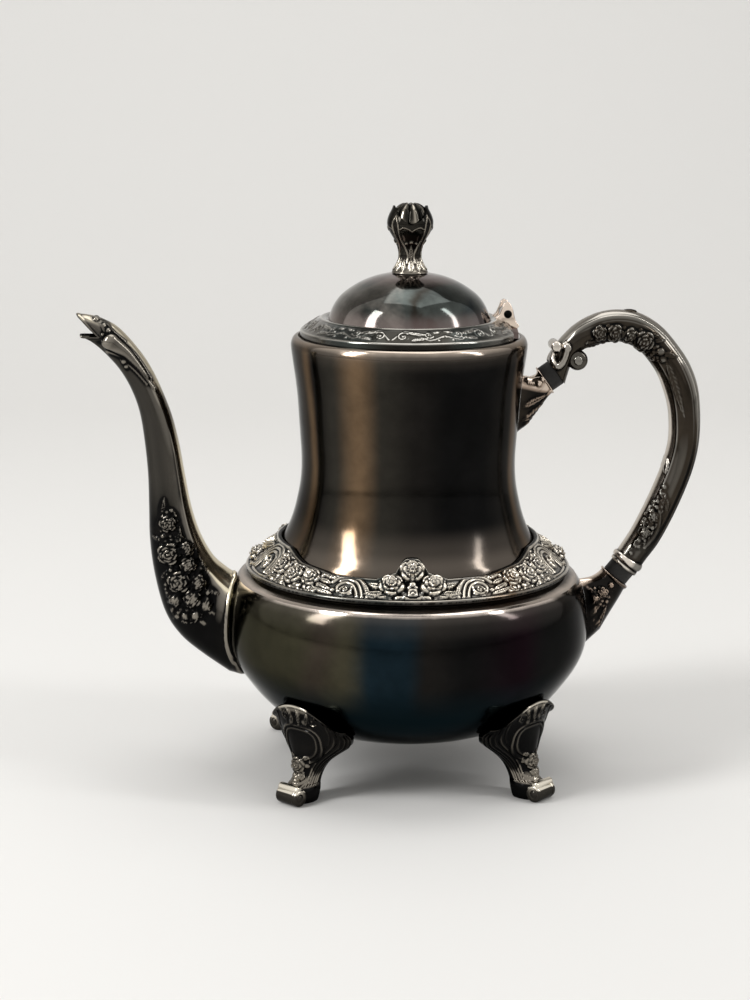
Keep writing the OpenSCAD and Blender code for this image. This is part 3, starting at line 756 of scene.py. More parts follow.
border_bm = pressed(960, 70, border_form, border_relief, tight=1.1)
bmesh.ops.bisect_plane(border_bm, geom=border_bm.verts[:] + border_bm.edges[:] + border_bm.faces[:],
                       dist=1e-4, plane_co=(PIN_X + 1, 0, 0), plane_no=(1, 0, 0), clear_outer=True)
bmesh.ops.remove_doubles(border_bm, verts=border_bm.verts, dist=MERGE)
bmesh.ops.holes_fill(border_bm, edges=[e for e in border_bm.edges if e.is_boundary], sides=0)
make_piece("lid_border_leaves", border_bm, ["lid_border"], lid_finish, "lid", crease=70)


# ---- spout -----------------------------------------------------------------------------------

def loft_line(stations, steps):
    """Smooths stations of outer x, outer z, inner x, inner z and half width, and runs along their middle."""
    s = curve(stations, steps)
    return s, distances((s[:, :2] + s[:, 2:4]) / 2)


def ring_point(station, a, pinch=1.0, thinner=0.0):
    """The point at an angle round a station's oval, drawn in by a factor and by a thickness."""
    outer_x, outer_z, inner_x, inner_z, half = station
    mx, mz = (outer_x + inner_x) / 2, (outer_z + inner_z) / 2
    hx, hz = (inner_x - outer_x) / 2 * pinch, (inner_z - outer_z) / 2 * pinch
    k = 1 - thinner / np.hypot(hx, hz) if np.any(thinner) else 1
    y = (half * pinch - thinner) * np.cos(a)
    return np.stack([mx + np.sin(a) * hx * k, y, mz + np.sin(a) * hz * k], 1)


def tube(stations, run, spacing, inside_rows):
    """A hollow loft: the blank runs out along the outside and back along the inside. Gives its form and
    rows, and how deep and how far along any v lies."""
    marks = [0.0]
    while marks[-1] < run[-1]:
        marks.append(marks[-1] + spacing(marks[-1]))
    outside = np.array(marks) / marks[-1]
    where = np.concatenate([outside, np.linspace(1, 0, inside_rows), [0.0]])
    depth = np.concatenate([np.zeros(len(outside)), np.ones(inside_rows), [0.0]])
    rows = len(where) - 1

    def depth_at(v):
        return np.interp(v * rows, np.arange(rows + 1), depth)

    def where_at(v):
        return np.interp(v * rows, np.arange(rows + 1), where) * run[-1]

    def form(u, v):
        return ring_point(read_off(stations, where_at(v), run), u * math.tau, thinner=depth_at(v) * WALL)
    return form, rows, depth_at, where_at


spout_stations = np.array([
    (-152.5, 208.6, -154.1, 219.4, 5.6), (-147.4, 206.2, -149, 219, 6.1), (-141.6, 201.2, -141.8, 217, 6.3),
    (-134.8, 193.4, -133, 211.2, 6.5), (-129.6, 184.2, -121.2, 196, 6.8), (-125.8, 173, -112.3, 176, 7.2),
    (-123.6, 158, -108, 160, 7.7), (-122.4, 143, -105.2, 143.8, 8.2), (-122.2, 128, -102.4, 128.6, 9),
    (-122, 112, -98.4, 115.6, 10.4), (-119.9, 95, -92.4, 104.4, 12), (-115.4, 77.6, -86, 98.4, 13.2),
    (-108.5, 66.2, -83.2, 96.4, 14), (-98.5, 57.2, -81.8, 95.2, 14.4), (-83, 46, -82, 94, 14.5)])
spout_curve, spout_run = loft_line(spout_stations, 10)
SPOUT = spout_run[-1]


def spout_flowers(x, z):
    """The spray on the spout's side, in x and z."""
    spray = np.minimum(np.hypot((x + 112.6) / 5.2, (z - 116) / 13),
                       np.hypot((x + 104.6) / 10.4, (z - 91) / 17))
    return over(0.8 * berries(x, z, 2.3, 0.7) * (spray < 1), chase(
        x, z,
        roses=[(-113.2, 121.6, 3.9, 0.2), (-112.6, 107.6, 5.4, 0.7), (-104.9, 109.4, 3.6, 0.3),
               (-104.2, 102.2, 4.0, 1.2), (-108.2, 94.4, 5.4, 0.4), (-99.8, 93.8, 4.1, 0.9),
               (-102.2, 86.4, 4.4, 0.1), (-110.2, 85.6, 3.2, 0.8), (-95.8, 83.2, 2.8, 0.5)],
        leaves=[(-115.6, 125.5, 9, 84, 1.3), (-112.6, 118, 7, 224, 1.5), (-111.8, 118, 7.5, -28, 1.6),
                (-117.4, 113.6, 4, 150, 1.2), (-108.6, 113.4, 6, 78, 1.7), (-100.6, 104, 6, 84, 1.5),
                (-100.8, 99.4, 6, 10, 1.5), (-113.4, 99.6, 6, 236, 1.4), (-112.4, 90.4, 6.5, 280, 1.5),
                (-95.6, 90.6, 6.5, -24, 1.4), (-96.4, 87, 6, -42, 1.4), (-97.6, 81.6, 6.5, -24, 1.3),
                (-99, 76.2, 5, -40, 1.1), (-108.4, 79.4, 5.5, 236, 1.2)],
        buttons=[(-115.5, 127.6, 1.0), (-112.4, 126.8, 0.8), (-115.7, 113.8, 1.2), (-105.8, 78, 1.7),
                 (-100.8, 78.2, 2.0)]))


def spout_leaves(x, z):
    """The acanthus under the beak, in x and z."""
    return chase(
        x, z,
        wires=[([(-138.6, 207.2), (-135.2, 204.8), (-131.0, 201.6), (-126.4, 196.4), (-121.6, 190.0)],
                3.5, 0.9, 0.8),
               ([(-118.2, 184.4), (-122.6, 190.2), (-127.2, 195.6), (-131.6, 199.2), (-136.0, 201.2),
                 (-139.6, 202.4)], 0.65, 0.9),
               ([(-122.0, 187.2), (-126.4, 192.6), (-130.6, 196.6), (-133.8, 198.6)], 0.5, 0.7),
               ([(-119.8, 189.4), (-124.4, 197.0), (-128.8, 202.8), (-133.0, 206.4), (-137.8, 209.4)],
                0.6, 0.8),
               ([(-137.8, 209.4), (-140.6, 211.2), (-142.2, 214.2)], 0.7, 0.7),
               ([(-131.6, 207.0), (-136.4, 211.0), (-141.0, 216.0)], 0.6, 0.6)],
        buttons=[(-132.4, 198.0, 1.3), (-131.4, 195.6, 1.0), (-139.5, 211.8, 1.4), (-141.8, 210.4, 0.9),
                 (-141.3, 214.4, 1.1), (-132.2, 204.6, 1.0), (-139.7, 202.4, 1.2, 0.5),
                 (-144.8, 217.8, 1.6, 0.9)])


def spout_relief(u, v, place, normal):
    """The spray, the acanthus, the ring at the root, the lip and a ridge along each side. A band along the
    spine carries a painted reflection, the upper side under the acanthus and the top of the beak carry painted
    highlights, and a lighter streak beside the spine near the root is a painted reflection too; the root where
    the leaves end is lighter, and the spout is lightened from the beak to the middle and darkened towards the
    bottom."""
    outside = spout_depth(v) < 0.001
    s = spout_where(v)
    x, y, z = np.transpose(place)
    facing = soft(0.3, 0.6, np.abs(normal[:, 1]))
    flowers, leaves = spout_flowers(x, z) * (z < 140) * facing, spout_leaves(x, z) * (z > 180) * facing
    off = -wall_at(bowl_side, y, z) - x
    ring = dome((off - 1.6) / 1.1) * 0.8 * (s > SPOUT - 24)
    lip = dome((s - 0.8) / 1.1) * 0.35
    reach = np.sin(u * math.tau)
    ridge = dome((reach - 0.66) / 0.05) * 0.35 * soft(60, 80, s)
    h = over(flowers, leaves, ring, lip, ridge) * outside

    # low_end lightens the spout from the beak to the middle, more towards the spine, and darkens it towards the
    # bottom; of the terms below, the second lightens the root where the leaves end and the third is a painted
    # reflection, a lighter streak beside the spine.
    low_end = soft(132, 84, s) * (0.08 + 0.09 * soft(-0.3, 0.6, reach)) - 0.05 * soft(110, 70, z)
    bare = over(FILM + low_end,
                FILM + 0.28 * soft(-96, -86, x) * soft(68, 88, z) * (z < 110),
                FILM + 0.28 * soft(0.36, 0.6, reach) * soft(84, 104, s))
    # A band along the spine from the middle to the root: a painted reflection.
    painted_spine_reflection = soft(0.62, 0.8, reach + 0.2 * soft(110, 170, s))
    bare = bare + (1 - bare) * painted_spine_reflection * soft(30, 90, s)
    # A painted highlight on the upper side under the acanthus, and one on the top of the beak.
    bare = over(bare, FILM + 0.46 * soft(0.3, 0.5, reach) * soft(12, 18, s) * soft(62, 44, s),
                FILM + 0.4 * soft(0.3, 0.6, reach) * soft(15, 9, s))
    bare = np.where(flowers > 0.05, 0.34, np.where(leaves > 0.05, 0.52, bare)) + 0.2 * (ring > 0.2)
    return h * 0.95, np.where(outside, np.minimum(bare, 1), 0.3)


def spout_spacing(s):
    """Rows lie close together where there is relief."""
    return 0.45 if s < 46 or s > 95 else 1.0


tube_form, spout_rows, spout_depth, spout_where = tube(spout_curve, spout_run, spout_spacing, 70)


def spout_form(u, v):
    """The tube, with its beak cut to a pouring point and its root laid against the bowl."""
    p = tube_form(u, v)
    s = spout_where(v)
    reach = np.sin(u * math.tau)
    p[:, 1] *= 1 - 0.12 * soft(9, 0, s)
    mouth = soft(-0.98, -0.78, reach) * (1 - reach) / 1.75
    p[:, 0] += mouth * 8.0 * soft(15, 0, s)
    p[:, 2] -= mouth * 0.8 * soft(15, 0, s)
    wall_x = -wall_at(bowl_side, p[:, 1], p[:, 2])
    last = soft(SPOUT - 1.2, SPOUT, s)
    p[:, 0] = np.where(s > SPOUT - 16, np.minimum(p[:, 0], wall_x) * (1 - last) + wall_x * last, p[:, 0])
    return p


make_piece("spout_body", pressed(120, spout_rows, spout_form, spout_relief, tight=1.15),
           ["spout_front_half", "spout_rear_half"], spout_finish)


# ---- handle ----------------------------------------------------------------------------------

def step_from(centre, angle, length):
    """The point in x and z that lies so far from another, at an angle in degrees."""
    angle = math.radians(angle)
    return (centre[0] + length * math.cos(angle), centre[1] + length * math.sin(angle))


def square_end(centre, angle, half):
    """A round end, square to a line at an angle."""
    return (*step_from(centre, angle - 90, half), *step_from(centre, angle + 90, half), half)


TOP_ANGLE, LOW_ANGLE, DISC_R, DISC_L = 35, 231, 6.4, 6.4
END_R = DISC_R + 0.6       # a round end stands proud of its disc
HANDLE_HALF = 7.2          # half width of the handle across the pot
top_joint, low_end = (64.3, 187.3), (104, 96.6)
top_start, low_joint = step_from(top_joint, TOP_ANGLE, DISC_L), step_from(low_end, LOW_ANGLE, DISC_L)
handle_shape = [(67.2, 201.4, 75.4, 191.8), (69.6, 205, 76.8, 195.4), (72.9, 208.8, 79.2, 199.6),
                (77, 212.8, 83.2, 202.2), (82.6, 216.4, 88.2, 203.4), (89.6, 219.2, 92.4, 204.8),
                (97.5, 220.3, 98, 205.2), (106, 219.4, 103, 204),
                (113.4, 216.2, 108.2, 201.2), (120.6, 210.8, 112.6, 196.8), (128.1, 201.9, 117.2, 190.2),
                (133.4, 193.6, 120.3, 183.2), (137.3, 183, 122.8, 175), (138.85, 169.5, 123.9, 166.2),
                (138.6, 156.5, 123.7, 156.8), (136.3, 144.5, 121.4, 147), (132.2, 132.5, 117.6, 136.6),
                (126.6, 119.5, 112.6, 125.2), (120.6, 108, 107.2, 114.4), (115, 100.2, 102.6, 107)]
handle_curve, handle_run = loft_line([square_end(top_start, TOP_ANGLE + 180, END_R),
                                      *[(*s, HANDLE_HALF) for s in handle_shape],
                                      square_end(low_end, LOW_ANGLE + 180, END_R)], 10)
HANDLE = handle_run[-1]


def handle_flowers(x, z):
    """Three roses and their leaves under the thumb, and a smaller spray at the lower end, in x and z."""
    bed = np.hypot((x - 98) / 23, (z - 204.4 + 0.012 * (x - 98) ** 2) / 6.2)
    upper = chase(
        x, z,
        roses=[(88.6, 210, 3.7, 0.3), (95.9, 210, 4.2, 0.9), (103.2, 208.8, 3.8, 0.5),
               (109.6, 206.2, 4.9, 1.3)],
        leaves=[(78.4, 198.6, 9, 50, 1.3, -0.1), (80.6, 201.4, 8.5, 38, 1.4, -0.1),
                (83.6, 204.6, 9, 26, 1.5, -0.1), (86.4, 206, 6.5, 4, 1.4), (91.6, 205.6, 7, -4, 1.4),
                (99.4, 203.8, 6, -18, 1.3), (105, 201.8, 7, -38, 1.4), (111.2, 209.6, 6.5, -14, 1.5),
                (113.8, 206.4, 6, 0, 1.3), (119.4, 200.6, 6.6, -18, 1.5),
                (120.4, 197, 30, -68, 2.2, -0.05, 0.2, 6)],
        buttons=[(92.6, 213.2, 1.2), (99.9, 212.4, 1.1), (101, 205.6, 1.3), (107.8, 211.2, 1.2),
                 (117.6, 201.2, 2), (118.8, 197.6, 1.7), (114.2, 200.6, 1.2)])
    lower = chase(
        x, z,
        roses=[(116.4, 122.0, 2.8, 0.4), (112.6, 114.4, 2.6, 1.0)],
        leaves=[(122.4, 151.5, 10, 268, 1.2), (121.8, 131.6, 10, 246, 1.5, 0.1),
                (122.6, 131.2, 9, 275, 1.3, -0.1), (111.2, 112.4, 8, 232, 1.5)],
        wires=[([(119.4, 124.6), (119.2, 118), (117.0, 112.4), (112.6, 107.2)], 1.0)],
        buttons=[(121.4, 136.4, 1.3), (120.2, 132.9, 1.2), (115.4, 118.6, 1.1), (118.4, 126.4, 1.1),
                 (108.4, 108.0, 1.3), (106.2, 104.4, 1.1)])
    low_bed = np.hypot((x - 115.4 - 0.42 * (z - 120)) / 3.6, (z - 120) / 14)
    return (over(upper, 0.8 * berries(x, z, 2.3, 2.6) * (bed < 1) * (x > 82)),
            over(lower, berries(x, z, 2.1, 0.4) * (low_bed < 1)))


def handle_relief(u, v, place, normal):
    """Both sprays, the collar over the lower disc, the curl at the upper one and three ridges along the loop.
    The top carries a painted highlight and a band along the inside a painted reflection; the lower loop is
    darker on its outer side."""
    outside = handle_depth(v) < 0.001
    s = handle_where(v)
    left = HANDLE - s
    x, _, z = np.transpose(place)
    reach = np.sin(u * math.tau)
    facing = soft(0.25, 0.5, np.abs(normal[:, 1]))
    upper, lower = handle_flowers(x, z)
    upper, lower = upper * (z > 165) * (x > 76), lower * (z < 153) * (z > 99)
    collar = over(dome((left - 3.6) / 1.7) * 1.1, dome((left - 0.6) / 0.9) * 0.4)
    curl = chase(x, z, buttons=[(68.8, 203.4, 2.4, 0.8), (73.4, 203.2, 2.2, 0.8)],
                 wires=[([(66.6, 204.4), (66.2, 200.4), (66.8, 196.6), (69.0, 194.4), (71.4, 196.6),
                          (72.8, 200.2), (73.3, 203.6)], 1.5, 0.9)]) * (s < 34) * facing
    ridges = over(*[dome((reach - at) / 0.045) * high
                    for at, high in ((-0.7, 0.4), (-0.4, 0.25), (0.62, 0.3))])
    ridges = ridges * soft(16, 26, s) * soft(10, 30, left)
    h = over(upper * facing, lower * facing, collar, curl, ridges) * outside

    down = soft(92, 122, s)
    # A painted highlight along the top of the loop; on the lower loop the outer side is darkened and the inner
    # side lightened.
    painted_top_highlight = (1 - down) * (0.43 * soft(-0.35, -0.72, reach) - 0.04)
    bare = 0.48 + painted_top_highlight + down * (0.11 * soft(-0.3, 0, reach) - 0.26 * soft(-0.2, -0.55, reach))
    # A painted reflection in a band along the inside of the loop; the curl is worn bright.
    bare = bare + 0.5 * soft(0.5, 0.78, reach) * soft(58, 74, s) + 0.4 * (curl > 0.2)
    bare = bare - 0.18 * ((upper > 0) & (z > 195) | (lower > 0)) * facing
    return h * 0.85, np.where(outside, np.clip(bare + 0.4 * (collar > 0.3), 0, 1), 0.3)


def handle_spacing(s):
    """Rows lie close together where there is relief."""
    return 0.45 if s < 84 or s > HANDLE - 66 else 1.0


handle_form, handle_rows, handle_depth, handle_where = tube(handle_curve, handle_run, handle_spacing, 80)
handle_parts = [(bead(2.6, (103.3, 0, 219.1), (1.5, 1, 0.55)), 0.4),
                (rod(4.8, 13.2, (78.9, 0, 197.0), edge=2.4), 0.56),
                *[(bead(2.3, (78.9, y, 197.0), (1, 0.55, 1)), 0.8) for y in (-6.3, 6.3)],
                (rod(2.5, 12.6, (68.6, 0, 203.6), edge=1.1), 0.95),
                (rod(2.3, 12.6, (73.3, 0, 203.8), edge=1.1), 0.95)]
make_piece("handle_loop", joined(pressed(100, handle_rows, handle_form, handle_relief, -1),
                                 *[rub(bm, bare) for bm, bare in handle_parts]),
           ["handle_front_half", "handle_rear_half"], handle_finish)


def socket(name, seat, seat_width, side, stations, joint, angle, relief):
    """A cast socket: a foot that lies on the sheet, drawn in to a round end for the disc."""
    lo, hi = seat
    body = curve([*stations, square_end(joint, angle, END_R)], 8)
    n = len(body)     # the blank has three rows over the foot, one to the body, n along it and two to close

    def form(u, v):
        a = u * math.tau
        t = v * (n + 5)
        k = np.clip(t / 3, 0, 1)
        y, z = seat_width * k * np.cos(a), (lo + hi) / 2 + np.sin(a) * k * (hi - lo) / 2
        base = np.stack([wall_at(side, y, z), y, z], 1)
        station = read_off(body, np.clip(t - 4, 0, n - 1))
        drawn = ring_point(station, a, pinch=np.clip(1 - (t - n - 3) / 2, 0, 1))
        mix = np.clip(t - 3, 0, 1)[:, None]
        return base * (1 - mix) + drawn * mix

    def raise_it(u, v, place, normal):
        t = v * (n + 5)
        raised = soft(3.2, 4.2, t) * (1 - soft(n + 2.6, n + 3, t))
        outer_x, outer_z, inner_x, inner_z, _ = read_off(body, np.clip(t - 4, 0, n - 1))
        middle = np.stack([(outer_x + inner_x) / 2, 0 * t, (outer_z + inner_z) / 2], 1)
        outwards = np.where(np.sum(normal * (place - middle), axis=1) < 0, -1, 1)
        h, bare = relief(place[:, 0], place[:, 2], t / (n + 3), soft(0.2, 0.5, np.abs(normal[:, 1])))
        return h * raised * outwards, bare

    make_piece(name + "_casting", pressed(110, 90, form, raise_it), [name], socket_finish)


def upper_leaves(x, z, t, facing):
    """Long leaves that part from the foot, and a painted highlight on the top."""
    g = chase(x, z, leaves=[(52.4, 161.5, 22, 58, 1.7, -0.06), (53.4, 168, 19, 44, 1.7, -0.08),
                            (52.8, 175, 14, 32, 1.6, -0.08)],
              wires=[([(51.6, 189.4), (57, 187), (62, 188.4)], 1.2),
                     ([(56.6, 168), (61, 175), (65, 181), (67.4, 183.6)], 0.8)],
              buttons=[(60.4, 186.6, 1.6)])
    # The top carries a painted highlight.
    bright = over(soft(-1.5, 1.5, z - 184.5 + 0.2 * (x - 52)), soft(186, 188, z) * (1 - facing))
    return over(g * facing, dome((t - 0.97) / 0.05) * 0.5), 0.42 + 0.5 * bright


def lower_leaves(x, z, t, facing):
    """Long leaves under a small spray, a painted highlight on the upper end, and darker towards the bottom."""
    g = chase(x, z, roses=[(93.4, 85.2, 2.7, 0.4), (89.6, 82.4, 2.4, 0.9)],
              leaves=[(87.2, 57, 22, 80, 1.4, 0.02), (89.8, 64, 17, 70, 1.4), (86.4, 73, 11, 52, 1.6),
                      (83.6, 88.4, 8, -30, 1.4)],
              buttons=[(97.2, 88.8, 1.4), (92, 79.8, 1.1), (87, 79.6, 1.1)])
    g = over(g, 0.7 * berries(x, z, 2.1, 0.6) * (np.hypot((x - 91) / 6, (z - 83) / 5) < 1))
    # The upper end carries a painted highlight, and the socket is darkened towards the bottom.
    bright = soft(-1, 1.5, z - 88.2 - 0.5 * (x - 85))
    return over(g * facing, dome((t - 0.96) / 0.06) * 0.9), 0.44 + 0.5 * bright - 0.08 * soft(86, 76, z)


socket("upper_socket", (162, 189.4), 7, neck_side,
       [(55.5, 165.6, 55.5, 189, 6.9), (60.4, 172.6, 57.8, 188.8, 6.8), (64.8, 178.2, 60, 190, 6.8)],
       top_joint, TOP_ANGLE, upper_leaves)
socket("lower_socket", (56, 90.5), 7.5, bowl_side,
       [(93.2, 65.4, 86.6, 91, 7.4), (98, 74, 88.8, 91.6, 7.2), (102, 80.8, 91.6, 93.2, 7)],
       low_joint, LOW_ANGLE + 180, lower_leaves)

for name, start, angle in (("upper_insulator", top_joint, TOP_ANGLE),
                           ("lower_insulator", low_end, LOW_ANGLE)):
    x, z = step_from(start, angle, DISC_L / 2)
    ray_x, ray_z = step_from((0, 0), angle, 1)
    make_piece(name + "_disc", rod(DISC_R, DISC_L, (x, 0, z), (ray_x, 0, ray_z), edge=0.5), [name],
               disc_finish, crease=40)


# ---- hinge -----------------------------------------------------------------------------------

cheek = [(PIN_X + x, PIN_Z + z) for x, z in (
    (-6.4, -3.7), (-6.2, -2.3), (-4.2, -0.6), (-2.9, 2.2), (-1.9, 5.0), (-0.5, 5.9), (1.0, 5.2), (2.4, 2.2),
    (3.0, -1.4), (4.2, -4.0), (5.6, -5.6), (4.6, -6.8), (1, -7), (-2.5, -4.5))]
make_piece("lid_hinge_cheeks", joined(*[bar(cheek, 3, y) for y in (-6.6, 3.6)]), ["lid_hinge"], socket_finish,
           "lid", crease=40, clean=0.97)
make_piece("hinge_pin_heads", joined(rod(1.6, 13.6, (PIN_X, 0, PIN_Z), edge=0.2, segments=32),
                                     *[bead(1.9, (PIN_X, y, PIN_Z), (1, 0.6, 1)) for y in (-6.9, 6.9)]),
           ["hinge_pin"], foot_finish, crease=40, clean=0.2)


# ---- finial ----------------------------------------------------------------------------------

bulb = curve(over_lid((8.4, 30.6), (8.3, 31.4), (6.6, 33.4), (5.2, 36.4), (4.8, 39.4), (5.4, 42.4), (7.2, 45.8),
                      (9.2, 49), (10.5, 52), (10.7, 54.6), (9.9, 57.4), (8.5, 60.2), (8, 61.8)), 6)
inner_bud = curve(over_lid((0, 45), (5.6, 45.6), (8.2, 50), (8.6, 53.4), (7.8, 56.6), (6.6, 59.2), (5, 60.9),
                           (3.2, 61.8), (1.4, 61.6), (0, 61.2)), 6)
# the stud and the stem's foot: a share of the blank, a radius and a height over the mouth ring
stud = np.array([(0, 0, 23), (0.015, 1.8, 23), (0.04, 1.8, 30.4), (0.06, 8.4, 30.6)])
STEM, EDGE = 0.06, 0.7     # shares of the blank where the stem starts and the sepals end


def calyx_form(u, v):
    """The stud, the stem and the four sepals, out to their edge and back down inside. The sepals come to
    a point at each side and stand low at the front and back."""
    a = u * math.tau
    rim = 53.5 + 8.2 * np.abs(np.cos(a)) ** 1.5
    rise, back = np.clip((v - STEM) / (EDGE - STEM), 0, 1), np.clip((v - 0.73) / 0.27, 0, 1)
    h = 30.6 + (rim - 30.6) * rise - (rim - 45) * back
    r = (np.interp(h, bulb[:, 1] - LID, bulb[:, 0]) - 0.9 * soft(EDGE, 0.73, v)) * (1 - soft(0.93, 1, v))
    stud_r, stud_h = read_off(stud[:, 1:], v, stud[:, 0])
    return round_axis(np.where(v < STEM, stud_r, r), a, LID + np.where(v < STEM, stud_h, h))


def calyx_relief(u, v, place, normal):
    """Veined sepals, each the same, with small leaves at their foot."""
    px, py, pz = np.transpose(place)
    a = np.degrees(np.arctan2(py, px))
    x, z = np.abs(((a + 135) % 90 - 45) * math.pi / 180 * np.hypot(px, py)), pz - LID
    edges = chase(x, z, wires=[
        ([(7.9, 57.6), (6.8, 53.5), (6.1, 50), (4.9, 46.4), (3.0, 43), (1.4, 39.4), (1.8, 35.6)], 0.5, 1.0),
        ([(0, 50.4), (1.8, 51.6), (4.0, 52.2), (6.2, 51)], 0.4)])
    small = chase(x, z, buttons=[(0, 45.2, 0.9), (2.3, 44.6, 0.8)],
                  leaves=[(0, 37, 7, 90, 1.2, 0, 0.5, 3), (0, 31.8, 6, 90, 1.7, 0, 0.4, 3),
                          (4.2, 31.8, 6, 104, 1.5, 0, 0.4, 3)])
    outside = (v > STEM) & (v < EDGE)
    # The foot of the calyx is worn bright; the sepal edges and the small leaves carry painted highlights.
    shade = 0.42 + 0.36 * soft(40, 33, z) + 0.34 * (edges > 0.25) + 0.2 * (small > 0.4)
    return over(edges, small) * outside, np.where(outside, np.minimum(shade, 0.96), 0.4)


def bud_form(u, v):
    """The bud inside the sepals."""
    r, z = read_off(inner_bud, v * (len(inner_bud) - 1))
    return round_axis(r, u * math.tau, z)


def bud_relief(u, v, place, normal):
    """Closed petals: ribs that run up and fold in at the top."""
    fold = np.abs(np.cos(u * math.pi * 9))
    high = soft(51, 55, place[:, 2] - LID) * soft(0.4, 3, np.hypot(place[:, 0], place[:, 1]))
    # The crest of each rib carries a painted highlight streak.
    return 0.95 * fold ** 0.5 * high, 0.32 + 0.18 * fold + 0.34 * soft(0.9, 1, fold) * high


make_piece("finial_rosebud", joined(pressed(200, 170, calyx_form, calyx_relief),
                                    pressed(144, 60, bud_form, bud_relief)), ["finial"], foot_finish, "lid")


# ---- feet ------------------------------------------------------------------------------------

# a row is height, how far its ends droop, width as a share of the toe's, front and back
foot_rows = curve([(0.2, 0, 0.70, 81.2, 70.6), (1.2, 0, 0.74, 82.2, 70), (3.6, 0, 0.78, 83.2, 69.4),
                   (6, 0, 0.80, 83.6, 68.8), (7.8, 0, 0.76, 82.4, 68.2), (9.2, 0, 0.68, 79.8, 67.4),
                   (13, 0.4, 0.68, 77.4, 65.6), (17, 1, 0.82, 76.8, 63.8), (21, 2, 1.12, 76.6, 62.2),
                   (24.5, 2.6, 1.56, 76.4, 61), (28, 3.4, 2.06, 76.2, 60.4), (31.5, 4.6, 2.46, 76.2, 61),
                   (36, 6.4, 2.62, 76.2, 62), (41.5, 9, 2.58, 77.0, 62), (47, 12, 2.5, 79.4, 62)], 8)
foot_rows[0] = (0.2, 0, 0.70, 81.2, 70.6)
TOE = 9            # half width of the toe
FOOT_R = 78        # radius at which the foot's width is measured


def foot_form(u, v):
    """A foot about y = 0: its front is the first half of u and its back the second, closed at both ends."""
    n = len(foot_rows)
    t = v * (n + 3) - 2
    close = np.clip(np.minimum(t + 2, n + 1 - t) / 2, 0, 1)
    z0, drop, wide, front, back = read_off(foot_rows, np.clip(t, 0, n - 1))
    across = np.sin(np.where(u < 0.5, 4 * u - 1, 3 - 4 * u) * math.pi / 2)
    z = z0 - drop * across ** 2
    b = np.where(z > bowl_side[0, 1], np.maximum(back, wall_at(bowl_side, 0, z)), back)
    f = np.maximum(b + 1, front)
    face = (u < 0.4999) | (u > 0.9999)
    p = np.where(face, b + (f - b) * (0.2 + 0.8 * np.sqrt(np.clip(1 - across ** 2, 0, 1))), b)
    centre = b + (f - b) * 0.3
    return round_axis(centre + (p - centre) * close, wide * TOE * across / FOOT_R, z)


def foot_ornament(x, z, side):
    """The shield, flutes, roses and leaves on a foot: x is millimetres round the bowl, z is height, and side
    runs from 0 in the middle to 1 at the back edge of the flank."""
    wing = np.abs(x)
    up = z - 28
    oval = np.where(up < 0, np.hypot(x / 9.4, up / 7.8),
                    (np.abs(x / 9.4) ** 3 + np.abs(up / 6.6) ** 3) ** (1 / 3))
    shield = over(dome((oval - 1.0) / 0.08) * 0.7, dome((oval - 1.24) / 0.09) * 0.8) * ((z > 23) | (wing > 5))
    flutes = np.abs(np.sin(side * math.pi * 10)) ** 0.8 * 0.75
    flutes = flutes * soft(0.48, 0.54, side) * (1 - soft(0.97, 1, side))
    flutes = flutes * soft(7.6, 8.6, z) * (1 - soft(30, 40, z)) * (oval > 1.36)
    middle = chase(
        x, z,
        roses=[(-0.4, 17.8, 3.9, 0.3), (0.6, 12.9, 3.0, 1.2)],
        leaves=[(1.6, 20.4, 5.4, 24, 1.2), (-1.6, 20.4, 5.4, 156, 1.2), (0, 11.6, 4.6, 232, 1.3),
                (0, 11.6, 4.6, 308, 1.3), (0, 12.2, 5, 270, 1.2), (0.4, 36.4, 9, 92, 1.8, 0, 0.6, 3),
                (-3.4, 36.8, 9.6, 104, 1.7, 0.1, 0.6, 3), (3.8, 36.2, 9.4, 76, 1.7, -0.1, 0.6, 3)],
        scrolls=[(-8.4, 39.6, 3.0, 0.5), (8.2, 40.2, 2.8, 0.5, -1)],
        wires=[([(-4.6, 9.6), (0, 6.4), (4.6, 9.6)], 0.7), ([(-5, 11.6), (0, 8.4), (5, 11.6)], 0.7)],
        buttons=[(3.9, 17.6, 1.3), (-4.4, 18.2, 1.3), (-4.7, 37.4, 1.5), (3.5, 38.8, 1.7)])
    wings = chase(wing, z, leaves=[(20.6, 35, 7.6, -8, 1.2, 0, 0.6, 3)], buttons=[(10.4, 42.2, 1.1)],
                  wires=[([(14.4, 28), (16, 34), (14.2, 40.6)], 0.5), ([(18.4, 27), (19.8, 34)], 0.5)])
    top = 47.0 - 11.6 * (wing / 23) ** 2
    return over(shield, flutes, middle, wings, dome((z - top + 0.9) / 0.9) * 0.8)


def foot_relief(u, v, place, normal):
    """The ornament on the front alone, with its flowers rubbed and a painted highlight on its upper leaves."""
    x, z = np.arctan2(place[:, 1], place[:, 0]) * FOOT_R, place[:, 2]
    t = v * (len(foot_rows) + 3) - 2
    face = soft(0.0, 0.015, u) * (1 - soft(0.485, 0.5, u)) * (t > 0.2) * (t < len(foot_rows) - 1.2)
    h = foot_ornament(x, z, np.abs(4 * u - 1)) * face * soft(5.6, 6.4, z)
    flowers = over((z < 24) * (np.abs(x) < 5.5) * (h > 0.3), soft(14.5, 11, z) * soft(7, 8.5, z))
    shade = 0.42 + 0.2 * flowers + 0.16 * soft(16, 10, z) * flowers
    # A painted highlight on the upper leaves at the top of the front.
    shade = shade + 0.5 * soft(41.5, 44, z) * (np.abs(x + 2) < 9)
    return h * 0.9, np.where(face > 0.2, shade, 0.44)


